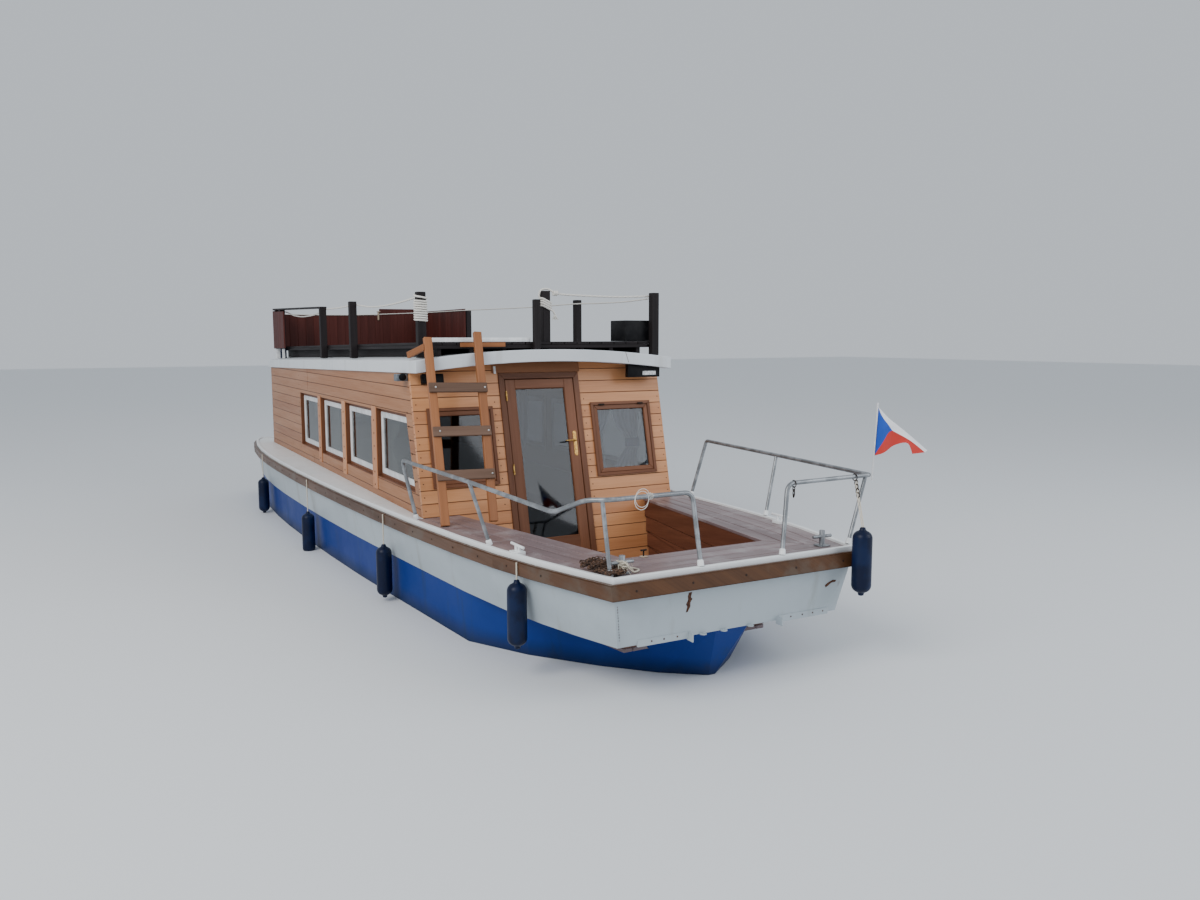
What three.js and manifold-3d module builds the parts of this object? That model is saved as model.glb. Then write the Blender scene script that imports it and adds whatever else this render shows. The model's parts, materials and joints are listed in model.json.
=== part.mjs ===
// Houseboat with a planked cabin, an open bow cockpit and a railed roof deck.
// Millimetres, +X forward, +Y to port, +Z up, origin on the waterline amidships.
import * as THREE from 'three';
import { mergeVertices } from 'three/addons/utils/BufferGeometryUtils.js';
import Module from 'manifold-3d';

const wasm = await Module();
wasm.setup();

// Driving dimensions
const BOW_X = 5600;
const PLATE_RAKE = 100;
const PAINT_Z = 430;
const KEEL_Z = -450;
const DECK_Z = 875;
const DECK_T = 25;
const BOW_RISE = 55;
const RISE_X = 2600;
const TRIM_W = 35;
const TRIM_H = 16;
const RUB_T = 40;
const RUB_H = 110;
const SOLE_Z = 240;
const SOLE_T = 30;
const GAP = 0.5;
const SIDES = [1, -1];

const WALL = 50;
const CABIN_W = 1345;
const CABIN_AFT = -4870;
const CABIN_FWD = 2573;
const RAKE_SLOPE = 0.2316;
const RAKE = Math.atan(RAKE_SLOPE);
const PLANK = 124;
const GROOVE = 5;

const ROOF_W = 1370;
const ROOF_AFT = -4930;
const ROOF_FWD = 2520;
const ROOF_Z = 2198;
const ROOF_T = 117;
const CAMBER = 91;
const ROOF_FALL = 0.0187;

const WELL_FWD = 5020;
const WELL_FWD_W = 630;
const WELL_AFT = 2470;
const WELL_SPREAD = 0.153;
const LINING = 20;
const BENCH_X = 2584;
const BENCH_BOARDS = 4;

const DOOR = { y0: -470, y1: 400, top: 2175, jamb: 60, leaf: 45 };
const FRONT_WINDOWS = { starboard: [-1222, -562], port: [503, 1201] };
const FRONT_SILL = 1127;
const FRONT_HEAD = 1862;

const PLAT_Z = 2479;
const PLAT_T = 28;
const PLAT_W = 1200;
const PLAT_AFT = -4760;
const PLAT_FWD = 2370;
const PLAT_FALL = 0.0139;
const PLAT_BOARDS = 17;

// Half-beam at the gunwale from bow to stern
const BEAM = [
  [5600, 1050], [5200, 1158], [4800, 1248], [4300, 1336], [3600, 1412], [2700, 1478],
  [2600, 1485], [1700, 1556], [800, 1618], [-200, 1670], [-1200, 1708], [-2300, 1730],
  [-3100, 1728], [-3900, 1700], [-4700, 1632], [-5200, 1560], [-5480, 1490], [-5600, 1400],
];

// Side sashes: aft edge, forward edge at the head, forward edge at the sill, sill height
const SIDE_WINDOWS = [
  [-2660, -1660, -1660, 1092], [-1428, -410, -410, 1092],
  [-160, 880, 880, 1101], [1137, 2089, 2309, 1120],
];
const WINDOW_H = 640;
// Wall opening beyond the sash, width of a sash rail, depths of the sash and its pane
const REVEAL = 40;
const SASH = 56;
const SASH_DEPTH = 42;
const PANE_DEPTH = 54;
const PANE_T = 6;
const AFT_WINDOW = [-330, 330, 1180, 1760];

// Roof deck posts: x, y, height of the top
const POST_W = 80;
const POSTS = [
  [-4724, -1240, 2948], [-4370, -1240, 2945], [-1650, -1240, 2895], [-150, -1240, 2931],
  [2310, -1240, 2940], [2386, 1240, 2975], [650, 1240, 2960], [-450, 1240, 2950],
  [-2980, 1240, 2925], [-4724, 1240, 2948],
];
// Gate posts beside the boarding gap: one before the front fascia, one standing in the deck
const GATE_FRONT = { x: [PLAT_FWD - 0.4, PLAT_FWD + 63.6], y: [-138, -74], top: 2887 };
const GATE_INNER = { x: [2250, 2330], y: [-1, 79], top: 2975 };

// Colour, roughness, metalness
const FINISH = {
  white: [0xe6e8e8, 0.45, 0],
  blue: [0x14307e, 0.4, 0],
  varnish: [0x8a5530, 0.4, 0],
  bench: [0x5d4038, 0.7, 0],
  lining: [0x7a3f2a, 0.6, 0],
  sole: [0x6c6a66, 0.8, 0],
  plank: [0xc98c5c, 0.5, 0],
  frame: [0x6b3a22, 0.45, 0],
  glass: [0x9fb4bd, 0.08, 0],
  brass: [0xb58a45, 0.35, 1],
  dark: [0x3f2b26, 0.75, 0],
  panel: [0x6d2f22, 0.6, 0],
  black: [0x17181c, 0.5, 0],
  timber: [0xa97848, 0.6, 0],
  zinc: [0x9aa09f, 0.5, 0.9],
  navy: [0x14244a, 0.5, 0],
  flag: [0xd8d8dc, 0.9, 0],
};

const lerp = (a, b, t) => a + (b - a) * t;
function table(rows, x) {
  const i = rows.findIndex((r, n) => n > 0 && x >= r[0]);
  if (i < 0) return rows[rows.length - 1][1];
  const [x0, v0] = rows[i - 1];
  const [x1, v1] = rows[i];
  return x > x0 ? v0 : lerp(v0, v1, (x0 - x) / (x0 - x1));
}
const beam = (x) => table(BEAM, x);
const rise = (x) => BOW_RISE * Math.max(0, (x - RISE_X) / (BOW_X - RISE_X));
const deckZ = (x) => DECK_Z + rise(x);
const roofDrop = (x) => ROOF_FALL * (x - ROOF_FWD);
const platDrop = (x) => PLAT_FALL * (x - PLAT_FWD);
const camber = (y) => CAMBER * (1 - (y / ROOF_W) ** 2);
const wellW = (x) => WELL_FWD_W + WELL_SPREAD * (WELL_FWD - x);

// Closed geometry to solid and back, for joins and cuts
function solid(geometry) {
  const g = geometry.clone();
  g.deleteAttribute('normal');
  g.deleteAttribute('uv');
  const m = mergeVertices(g, 1e-3);
  return new wasm.Manifold(new wasm.Mesh({
    numProp: 3,
    vertProperties: new Float32Array(m.attributes.position.array),
    triVerts: new Uint32Array(m.index.array),
  }));
}
const join = (...list) => list.flat(2).reduce((a, b) => a.add(b));
const cut = (a, ...list) => list.flat(2).reduce((s, b) => s.subtract(b), a);
function geometryOf(m) {
  const mesh = m.getMesh();
  const g = new THREE.BufferGeometry();
  g.setAttribute('position', new THREE.BufferAttribute(new Float32Array(mesh.vertProperties), 3));
  g.setIndex(Array.from(mesh.triVerts));
  g.computeVertexNormals();
  return g;
}

const boat = new THREE.Group();
function add(name, shape, finish, position = [0, 0, 0]) {
  const geometry = shape.isBufferGeometry ? shape : geometryOf(shape);
  const [color, roughness, metalness] = finish;
  const material = new THREE.MeshStandardMaterial({ color, roughness, metalness });
  const mesh = new THREE.Mesh(geometry, material);
  mesh.name = name;
  mesh.position.set(...position);
  boat.add(mesh);
}

// Prisms of an outline along each axis
function extrude(outline, depth) {
  const shape = new THREE.Shape(outline.map(([a, b]) => new THREE.Vector2(a, b)));
  return new THREE.ExtrudeGeometry(shape, { depth, bevelEnabled: false });
}
const AXIS = {
  x: new THREE.Vector3(1, 0, 0), y: new THREE.Vector3(0, 1, 0), z: new THREE.Vector3(0, 0, 1),
};
function prismX(outline, x0, x1) {
  const turn = new THREE.Matrix4().makeBasis(AXIS.y, AXIS.z, AXIS.x);
  return extrude(outline, x1 - x0).applyMatrix4(turn).translate(x0, 0, 0);
}
function prismY(outline, y0, y1) {
  const turn = new THREE.Matrix4().makeBasis(AXIS.x, AXIS.z, AXIS.y.clone().negate());
  return extrude(outline, y1 - y0).applyMatrix4(turn).translate(0, y1, 0);
}
const prismZ = (outline, z0, z1) => extrude(outline, z1 - z0).translate(0, 0, z0);
function box(x0, x1, y0, y1, z0, z1) {
  const g = new THREE.BoxGeometry(x1 - x0, y1 - y0, z1 - z0);
  return g.translate((x0 + x1) / 2, (y0 + y1) / 2, (z0 + z1) / 2);
}

// Round bar between two points
function rod(a, b, r, sides = 10) {
  const p = new THREE.Vector3(...a);
  const q = new THREE.Vector3(...b);
  const d = q.clone().sub(p);
  const g = new THREE.CylinderGeometry(r, r, d.length(), sides);
  g.applyQuaternion(new THREE.Quaternion().setFromUnitVectors(AXIS.y, d.clone().normalize()));
  return g.translate(...p.add(q).multiplyScalar(0.5).toArray());
}
const disc = (x, y, z, r, h, sides = 12) => rod([x, y, z], [x, y, z + h], r, sides);

// Bent tube through points, with rounded corners
function tube(points, r, bend = 70, sides = 8) {
  const v = points.map((p) => new THREE.Vector3(...p));
  const path = new THREE.CurvePath();
  let from = v[0];
  for (let i = 1; i < v.length - 1; i++) {
    const a = v[i].clone().add(v[i - 1].clone().sub(v[i]).setLength(bend));
    const b = v[i].clone().add(v[i + 1].clone().sub(v[i]).setLength(bend));
    path.add(new THREE.LineCurve3(from, a));
    path.add(new THREE.QuadraticBezierCurve3(a, v[i], b));
    from = b;
  }
  path.add(new THREE.LineCurve3(from, v[v.length - 1]));
  const section = new THREE.Shape();
  for (let j = 0; j < sides; j++) {
    const t = 2 * Math.PI * j / sides;
    if (j) section.lineTo(r * Math.cos(t), r * Math.sin(t));
    else section.moveTo(r, 0);
  }
  const steps = Math.ceil(path.getLength() / bend);
  return new THREE.ExtrudeGeometry(section, { extrudePath: path, steps, bevelEnabled: false });
}

// Straight timber of rectangular section; "across" is the direction of its width
function timber(a, b, width, depth, across) {
  const p = new THREE.Vector3(...a);
  const q = new THREE.Vector3(...b);
  const t = q.clone().sub(p);
  const length = t.length();
  t.normalize();
  const w = new THREE.Vector3(...across);
  w.addScaledVector(t, -w.dot(t)).normalize();
  const g = new THREE.BoxGeometry(width, depth, length);
  g.applyMatrix4(new THREE.Matrix4().makeBasis(w, t.clone().cross(w), t));
  return g.translate(...p.add(q).multiplyScalar(0.5).toArray());
}

// Turned shape about a vertical axis, closed on the axis
function turned(profile, sides = 14) {
  const pts = [[0, profile[0][1]], ...profile, [0, profile[profile.length - 1][1]]];
  const g = new THREE.LatheGeometry(pts.map(([r, h]) => new THREE.Vector2(r, h)), sides);
  return g.rotateX(Math.PI / 2);
}

// Shears a piece so that it follows the fall of the roof or roof deck, or the rise of the bow
function shear(g, lift) {
  const p = g.attributes.position;
  for (let i = 0; i < p.count; i++) p.setZ(i, p.getZ(i) + lift(p.getX(i)));
  return g;
}
const onRoof = (g) => shear(g, roofDrop);
const onPlat = (g) => shear(g, platDrop);
const onBow = (g) => shear(g, rise);

// Closed hull-like solid through levels of [x, half-beam, z] from bow to stern
function loft(levels) {
  const n = levels[0].length;
  const k = 2 * n;
  const pos = [];
  const idx = [];
  for (const level of levels) {
    for (const [x, h, z] of level) pos.push(x, h, z);
    for (const [x, h, z] of level.slice().reverse()) pos.push(x, -h, z);
  }
  for (let i = 0; i < levels.length - 1; i++) {
    for (let j = 0; j < k; j++) {
      const a = i * k + j;
      const b = i * k + (j + 1) % k;
      idx.push(a, b, b + k, a, b + k, a + k);
    }
  }
  const top = (levels.length - 1) * k;
  for (let j = 0; j < n - 1; j++) {
    const m = k - 1 - j;
    idx.push(j, m, m - 1, j, m - 1, j + 1);
    idx.push(top + j, top + m - 1, top + m, top + j, top + j + 1, top + m - 1);
  }
  const g = new THREE.BufferGeometry();
  g.setAttribute('position', new THREE.Float32BufferAttribute(pos, 3));
  g.setIndex(idx);
  const s = solid(g);
  return s.volume() < 0 ? solid(g.setIndex(idx.reverse())) : s;
}

// Hull
const flare = (x) => lerp(62, 86, Math.max(0, (x - RISE_X) / (BOW_X - RISE_X)));
const lowX = (x) => x - PLATE_RAKE * Math.max(0, (x - 4000) / 1600);
const keelZ = (x) => table([[5600, KEEL_Z], [-3900, KEEL_Z], [-4700, -40], [-5600, -30]], x);
function hullSide(x, z) {
  const top = deckZ(x) - DECK_T;
  return beam(x) - flare(x) * (top - z) / (top - PAINT_Z);
}
function plateX(z) {
  const top = deckZ(BOW_X) - DECK_T;
  return BOW_X - PLATE_RAKE * (top - z) / (top - PAINT_Z);
}
const wellOutline = (d) => [
  [WELL_FWD + d, wellW(WELL_FWD + d) + d], [WELL_AFT, wellW(WELL_AFT) + d],
  [WELL_AFT, -wellW(WELL_AFT) - d], [WELL_FWD + d, -wellW(WELL_FWD + d) - d],
];
const CABIN_HOLE = { x0: CABIN_AFT + WALL + 20, x1: WELL_AFT + 10, y: 1255 };
const well = solid(prismZ(wellOutline(LINING), SOLE_Z - SOLE_T, 2000));
const cabinHole = solid(box(CABIN_HOLE.x0, CABIN_HOLE.x1, -CABIN_HOLE.y, CABIN_HOLE.y,
  SOLE_Z - SOLE_T, 2000));

// Angle brackets and eyes welded along the foot of the bow plate
function bowBrackets() {
  const x = plateX(450) - 8;
  const out = [];
  for (const [y0, y1, flange] of [[-810, -392, -400], [392, 880, 392]]) {
    out.push(solid(box(x, x + 18, y0, y1, 418, 468)));
    out.push(solid(box(x, x + 76, flange, flange + 8, 404, 468)));
  }
  for (const y of [-275, -95, 140]) {
    const eye = solid(disc(x + 22, y, PAINT_Z, 26, 8));
    out.push(cut(eye, solid(disc(x + 30, y, PAINT_Z - 5, 9, 20))));
  }
  return out;
}
const topside = loft([
  BEAM.map(([x, h]) => [lowX(x), h - flare(x), PAINT_Z]),
  BEAM.map(([x, h]) => [x, h, deckZ(x) - DECK_T - GAP]),
]);
add('hull_topsides', join(cut(topside, well, cabinHole), bowBrackets()), FINISH.white);

// One waterline of the lower hull: its first stations give the blunt, raked bow
function waterline(z, inset, bow) {
  return BEAM.map(([x, h], i) => {
    const depth = z > 0 ? z : keelZ(x) * z / KEEL_Z;
    return i < bow.length ? [...bow[i], depth] : [lowX(x), h - flare(x) - inset, depth];
  });
}
const SHAFT_Z = -245;
const SKEG_AFT = -4779;
const HEEL_AFT = -5230;
function skeg() {
  const outline = [[-3800, -400], [-4690, 10], [-4760, 10], [SKEG_AFT, -60], [SKEG_AFT, KEEL_Z],
    [HEEL_AFT, KEEL_Z], [HEEL_AFT, KEEL_Z - 30], [-3905, KEEL_Z - 30], [-3800, KEEL_Z + 10]];
  const boss = solid(rod([-4300, 0, SHAFT_Z], [SKEG_AFT, 0, SHAFT_Z], 46, 14));
  return join(solid(prismY(outline, -16, 16)), boss);
}
const lowerHull = loft([
  waterline(KEEL_Z, 210, [[4780, 15], [4380, 380], [4130, 560], [3850, 760]]),
  waterline(-250, 90, [[5010, 20], [4730, 340], [4420, 620], [4000, 930]]),
  waterline(0, 30, [[5240, 30], [5010, 330], [4660, 650], [4160, 1020]]),
  waterline(PAINT_Z - GAP, 12, [[5485, 140], [5320, 315], [4900, 640], [4310, 1080]]),
]);
add('hull_bottom', cut(join(lowerHull, skeg()), well, cabinHole), FINISH.blue);

// Slab over the whole deck, drawn in from the gunwale by the inset
function deckBand(inset, z0, z1) {
  const shift = (x) => x - Math.sign(x) * (Math.abs(x) === BOW_X ? inset : 0);
  const level = (z) => BEAM.map(([x]) => [shift(x), beam(shift(x)) - inset, deckZ(shift(x)) + z]);
  return loft([level(z0), level(z1)]);
}
// White strip round the deck edge, with the two deck cleats lapping over it
const overTrim = cut(deckBand(-60, -90, TRIM_H + GAP), deckBand(TRIM_W + GAP, -95, TRIM_H + 5));
const CLEAT = { x: 4480, inset: 60, foot: [50, 44, 8], neck: 28, horn: 110, r: 11 };
function cleat(side) {
  const { x, r } = CLEAT;
  const [fx, fy, fz] = CLEAT.foot;
  const y = side * (beam(x) - CLEAT.inset);
  const low = deckZ(x + fx) + GAP;
  const z = low + TRIM_H;
  const foot = cut(solid(box(x - fx, x + fx, y - fy, y + fy, low, z + fz)), overTrim);
  const necks = [-1, 1].map((k) => solid(disc(x + k * CLEAT.neck, y, z + 2, r, 46, 8)));
  const horns = solid(rod([x - CLEAT.horn, y, z + 50], [x + CLEAT.horn, y, z + 50], r, 8));
  return join(foot, necks, horns);
}
const trim = cut(deckBand(0, -DECK_T, TRIM_H), deckBand(TRIM_W, -DECK_T - 5, TRIM_H + 5));
add('deck_edge_trim', trim, FINISH.white);
for (const side of SIDES) {
  add(side > 0 ? 'cleat_port' : 'cleat_starboard', cleat(side), FINISH.white);
}

// Wooden rub rail all round under the deck edge
function rubLevel(z, out) {
  return BEAM.map(([x]) => {
    const end = Math.abs(x) === BOW_X ? Math.sign(x) * out : 0;
    const zz = deckZ(x) + z;
    return [x + end, hullSide(x, zz) + out, zz];
  });
}
const rubOuter = loft([rubLevel(-20 - RUB_H, RUB_T + 14), rubLevel(-20, RUB_T)]);
const rubInner = loft([rubLevel(-25 - RUB_H, 1), rubLevel(-15, 1)]);
add('rub_rail', cut(rubOuter, rubInner), FINISH.varnish);

// White side decks and stern deck in one U
function whiteDeck() {
  const slab = cut(deckBand(TRIM_W + GAP, -DECK_T, 0), solid(box(2578, 6000, -2000, 2000, 0, 2000)));
  return cut(slab, solid(box(CABIN_AFT - GAP, 3000, -CABIN_W - GAP, CABIN_W + GAP, 0, 2000)));
}
add('white_deck', whiteDeck(), FINISH.white);

// Cockpit bench round three sides: boards along each side, mitred at the corners
const benchEnd = BOW_X - TRIM_W - GAP;
const benchSide = (x) => beam(x) - TRIM_W - GAP;
function benchLine(f, d) {
  const at = (x) => lerp(wellW(x), benchSide(x), f) + d;
  const xs = [BENCH_X - 20, 2700, 3600, 4300, 4800];
  const corner = [lerp(WELL_FWD, benchEnd, f) + d, lerp(WELL_FWD_W, benchSide(benchEnd), f) + d];
  return [...xs.map((x) => [x, at(x)]), corner];
}
function groove(f) {
  const outer = benchLine(f, 3);
  const inner = benchLine(f, -3);
  const mirror = (line) => line.map(([x, y]) => [x, -y]).reverse();
  const outline = [...outer, ...mirror(outer), ...mirror(inner).reverse(), ...inner.slice().reverse()];
  return solid(onBow(prismZ(outline, DECK_Z - 18, DECK_Z + 60)));
}
function mitre(side) {
  const a = [WELL_FWD - 20, side * (WELL_FWD_W - 15)];
  const b = [benchEnd + 40, side * (benchSide(benchEnd) + 30)];
  const n = [-(b[1] - a[1]), b[0] - a[0]].map((v) => 3 * v / Math.hypot(b[0] - a[0], b[1] - a[1]));
  const outline = [[a[0] + n[0], a[1] + n[1]], [b[0] + n[0], b[1] + n[1]],
    [b[0] - n[0], b[1] - n[1]], [a[0] - n[0], a[1] - n[1]]];
  return solid(onBow(prismZ(outline, DECK_Z - 18, DECK_Z + 60)));
}
function bench() {
  const aft = solid(box(-6000, BENCH_X, -2000, 2000, 0, 2000));
  const slab = cut(deckBand(TRIM_W + GAP, -DECK_T, 0), aft, solid(prismZ(wellOutline(0), 0, 2000)));
  const lines = [1, 2, 3].map((k) => groove(k / BENCH_BOARDS));
  return cut(slab, lines, SIDES.map(mitre));
}
add('cockpit_bench', bench(), FINISH.bench);

// Frame of the raked front wall: x outward, y to port, z up the wall
const raked = new THREE.Matrix4().makeTranslation(CABIN_FWD, 0, DECK_Z)
  .multiply(new THREE.Matrix4().makeRotationY(-RAKE));
const upWall = (z) => (z - DECK_Z) / Math.cos(RAKE);
function wallBox(y0, y1, z0, z1, d0, d1) {
  return solid(box(d0, d1, y0, y1, upWall(z0), upWall(z1)).applyMatrix4(raked));
}
const FAR = 2500;
const behindFace = wallBox(-FAR, FAR, -600, 3600, -FAR, 1);

// Cockpit lining of four planks on three sides, and the soles
function wellRing(d0, d1, z0, z1) {
  const shell = (d) => solid(prismZ(wellOutline(d), z0, z1));
  return cut(shell(d1), solid(prismZ(wellOutline(d0), z0 - 5, z1 + 5)));
}
function lining() {
  const joints = [395, 545, 695].map((z) => wellRing(-20, 6, z - 3, z + 3));
  const top = DECK_Z - DECK_T - GAP;
  const underBench = [solid(box(0, RISE_X, -FAR, FAR, top, 2000)),
    solid(onBow(box(RISE_X, BOW_X, -FAR, FAR, top, 2000)))];
  return cut(wellRing(0, LINING - GAP, SOLE_Z + 5, 1000), joints, behindFace, underBench);
}
add('cockpit_lining', lining(), FINISH.lining);
const soleSlab = solid(prismZ(wellOutline(LINING - GAP), SOLE_Z - SOLE_T + GAP, SOLE_Z));
const doorStep = wallBox(DOOR.y0 - 1, DOOR.y1 + 1, -600, 3600, -FAR, 14 + GAP);
add('cockpit_sole', cut(soleSlab, behindFace, doorStep), FINISH.bench);
const soleBehind = solid(box(0, 2668, -FAR, FAR, 0, 1000));
const cabinSlab = solid(box(CABIN_HOLE.x0 + GAP, CABIN_HOLE.x1 - GAP, -CABIN_HOLE.y + GAP,
  CABIN_HOLE.y - GAP, SOLE_Z - SOLE_T + GAP, SOLE_Z));
add('cabin_sole', join(cabinSlab, soleSlab.intersect(soleBehind)), FINISH.sole);

// Flat wall profile with a groove at every plank joint
function plankProfile(face, back, v0, v1, start) {
  const inward = Math.sign(back - face);
  const pts = [[back, v0], [face, v0]];
  for (let v = start; v < v1 - 12; v += PLANK) {
    if (v > v0 + 12) pts.push([face, v - 4], [face + inward * GROOVE, v], [face, v + 4]);
  }
  return [...pts, [face, v1], [back, v1]];
}
function roofArc(offset) {
  const n = 14;
  return [...Array(n + 1).keys()].map((i) => {
    const y = lerp(-ROOF_W, ROOF_W, i / n);
    return [y, ROOF_Z + camber(y) + offset];
  });
}
const roofSpace = [...roofArc(-GAP), [ROOF_W + 300, ROOF_Z - 12], [ROOF_W + 300, 4500],
  [-ROOF_W - 300, 4500], [-ROOF_W - 300, ROOF_Z - 12]];
const aboveRoof = solid(onRoof(prismX(roofSpace, ROOF_AFT - 400, ROOF_FWD + 400)));

// Cabin walls
const doorHole = wallBox(DOOR.y0, DOOR.y1, SOLE_Z - 100, DOOR.top, -200, 200);
const CASING = 20;
function frontWindowHole([y0, y1]) {
  return wallBox(y0 + CASING, y1 - CASING, FRONT_SILL + CASING, FRONT_HEAD - CASING, -200, 200);
}
function frontWall() {
  const profile = plankProfile(0, -WALL, upWall(200), upWall(2500), upWall(SOLE_Z + 30));
  const panel = solid(prismY(profile, -CABIN_W, CABIN_W).applyMatrix4(raked));
  const upper = solid(box(0, 4000, -CABIN_W, CABIN_W, DECK_Z - DECK_T + GAP, 3000));
  const lower = solid(prismZ(wellOutline(LINING - GAP), SOLE_Z - SOLE_T + GAP, DECK_Z));
  const holes = Object.values(FRONT_WINDOWS).map(frontWindowHole);
  return cut(panel.intersect(join(upper, lower)), doorHole, holes, aboveRoof);
}
add('cabin_front', frontWall(), FINISH.plank);

function windowOutline([aft, head, sill, z], d) {
  const slope = (sill - head) / WINDOW_H;
  const out = d * Math.hypot(1, slope);
  return [[aft - d, z - d], [sill + out + d * slope, z - d],
    [head + out - d * slope, z + WINDOW_H + d], [aft - d, z + WINDOW_H + d]];
}
const behindFront = wallBox(-FAR, FAR, -600, 3600, -WALL - GAP, FAR);
function sideWall(side) {
  const profile = plankProfile(side * CABIN_W, side * (CABIN_W - WALL), DECK_Z - DECK_T + GAP,
    2400, DECK_Z + 70);
  const holes = SIDE_WINDOWS.map((w) => solid(prismY(windowOutline(w, REVEAL), side * 1300 - 300,
    side * 1300 + 300)));
  return cut(solid(prismX(profile, CABIN_AFT, CABIN_FWD)), behindFront, aboveRoof, holes);
}
add('cabin_starboard', sideWall(-1), FINISH.plank);
add('cabin_port', sideWall(1), FINISH.plank);

function aftWindowBox(d, x0, x1) {
  const [y0, y1, z0, z1] = AFT_WINDOW;
  return solid(box(CABIN_AFT + x0, CABIN_AFT + x1, y0 - d, y1 + d, z0 - d, z1 + d));
}
function aftWall() {
  const profile = plankProfile(CABIN_AFT, CABIN_AFT + WALL, DECK_Z - DECK_T + GAP, 2400,
    DECK_Z + 70);
  const half = CABIN_W - WALL - GAP;
  return cut(solid(prismY(profile, -half, half)), aboveRoof, aftWindowBox(REVEAL, -100, 100));
}
add('cabin_aft', aftWall(), FINISH.plank);

// Door, hinged on its starboard edge: each hinge has a lower knuckle on the frame
const FRAME_FACE = 14;
const LEAF_FACE = 6;
const HINGE = { y: -407, d: 23, r: 8, half: 45, gap: 0.3, heights: [520, 1250, 1950] };
function knuckle(z, v0, v1) {
  const a = [HINGE.d, HINGE.y, upWall(z) + v0];
  const b = [HINGE.d, HINGE.y, upWall(z) + v1];
  return solid(rod(a, b, HINGE.r, 12).applyMatrix4(raked));
}
function hingeWeb(z, y0, y1, d0, v0, v1) {
  const g = box(d0, HINGE.d, y0, y1, upWall(z) + v0, upWall(z) + v1);
  return solid(g.applyMatrix4(raked));
}
function doorFrame() {
  const low = SOLE_Z - SOLE_T + GAP;
  const outer = wallBox(DOOR.y0 + GAP, DOOR.y1 - GAP, low - 20, DOOR.top - GAP, -WALL,
    FRAME_FACE);
  const inner = wallBox(DOOR.y0 + DOOR.jamb, DOOR.y1 - DOOR.jamb, SOLE_Z + 34,
    DOOR.top - DOOR.jamb, -300, 300);
  const hinges = HINGE.heights.map((z) => [knuckle(z, -HINGE.half, 0),
    hingeWeb(z, HINGE.y - 6, HINGE.y - 1, FRAME_FACE - 3, -HINGE.half, 0)]);
  return join(cut(outer, inner, solid(box(0, 4000, -FAR, FAR, -500, low))), hinges);
}
add('door_frame', doorFrame(), FINISH.frame);
const LEAF = [DOOR.y0 + DOOR.jamb + 6, DOOR.y1 - DOOR.jamb - 6, SOLE_Z + 44,
  DOOR.top - DOOR.jamb - 6];
const PANE = [-302, 232, 578, 2022];
function doorLeaf() {
  const leaf = cut(wallBox(...LEAF, LEAF_FACE - DOOR.leaf, LEAF_FACE),
    wallBox(...PANE, -300, 300));
  const hinges = HINGE.heights.map((z) => [knuckle(z, HINGE.gap, HINGE.half),
    hingeWeb(z, HINGE.y + 3, HINGE.y + 7, LEAF_FACE - 3, HINGE.gap, HINGE.half)]);
  return join(leaf, hinges);
}
add('door_leaf', doorLeaf(), FINISH.frame);
add('door_glass', wallBox(PANE[0] + GAP, PANE[1] - GAP, PANE[2] + GAP, PANE[3] - GAP, -22, -12),
  FINISH.glass);
function doorHandle() {
  const y = 290;
  const v = upWall(1493);
  const plate = wallBox(y - 19, y + 19, 1345, 1590, LEAF_FACE + GAP, LEAF_FACE + 9);
  const stem = rod([LEAF_FACE + 4, y, v], [LEAF_FACE + 52, y, v], 9);
  const grip = rod([LEAF_FACE + 48, y + 8, v], [LEAF_FACE + 48, y - 128, v], 9);
  return join(plate, solid(stem.applyMatrix4(raked)), solid(grip.applyMatrix4(raked)));
}
add('door_handle', doorHandle(), FINISH.brass);

// Front windows: a casing on the wall, a frame in the hole and a pane
for (const [side, [y0, y1]] of Object.entries(FRONT_WINDOWS)) {
  const ring = (d, d0, d1) => wallBox(y0 + d, y1 - d, FRONT_SILL + d, FRONT_HEAD - d, d0, d1);
  const face = cut(ring(0, GAP, 20), ring(76, -50, 100));
  const frame = cut(ring(CASING + GAP, -WALL, 2), ring(76, -100, 100));
  add(`front_window_frame_${side}`, join(face, frame), FINISH.frame);
  add(`front_window_pane_${side}`, ring(76 + GAP, -20, -10), FINISH.glass);
}

// Side windows: white sashes and panes set deep in the wall, on one inner board a side
function sideWindows(side) {
  const span = (a, b) => [side * (CABIN_W - a), side * (CABIN_W - b)].sort((p, q) => p - q);
  const ring = (w, d, a, b) => solid(prismY(windowOutline(w, d), ...span(a, b)));
  const first = SIDE_WINDOWS[0];
  const last = SIDE_WINDOWS[SIDE_WINDOWS.length - 1];
  const board = solid(box(first[0] - 60, last[1] + 60, ...span(WALL + GAP, WALL + 16),
    first[3] - 20, last[3] + WINDOW_H + 20));
  const joined = join(board, SIDE_WINDOWS.map((w) => ring(w, REVEAL - GAP, SASH_DEPTH,
    WALL + 10)));
  const light = SIDE_WINDOWS.map((w) => [ring(w, -SASH, -100, PANE_DEPTH),
    ring(w, -SASH, PANE_DEPTH + PANE_T, 300)]);
  return cut(joined, light);
}
add('side_windows_starboard', sideWindows(-1), FINISH.white);
add('side_windows_port', sideWindows(1), FINISH.white);
const AFT_PANE = 29;
const aftWindow = cut(aftWindowBox(REVEAL - GAP, 14, WALL), aftWindowBox(-SASH, -100, AFT_PANE),
  aftWindowBox(-SASH, AFT_PANE + PANE_T, 300));
add('aft_window', aftWindow, FINISH.white);

// Roof
const roofOutline = [...roofArc(0), ...roofArc(ROOF_T).reverse()];
add('roof', onRoof(prismX(roofOutline, ROOF_AFT, ROOF_FWD)), FINISH.white);

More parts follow.
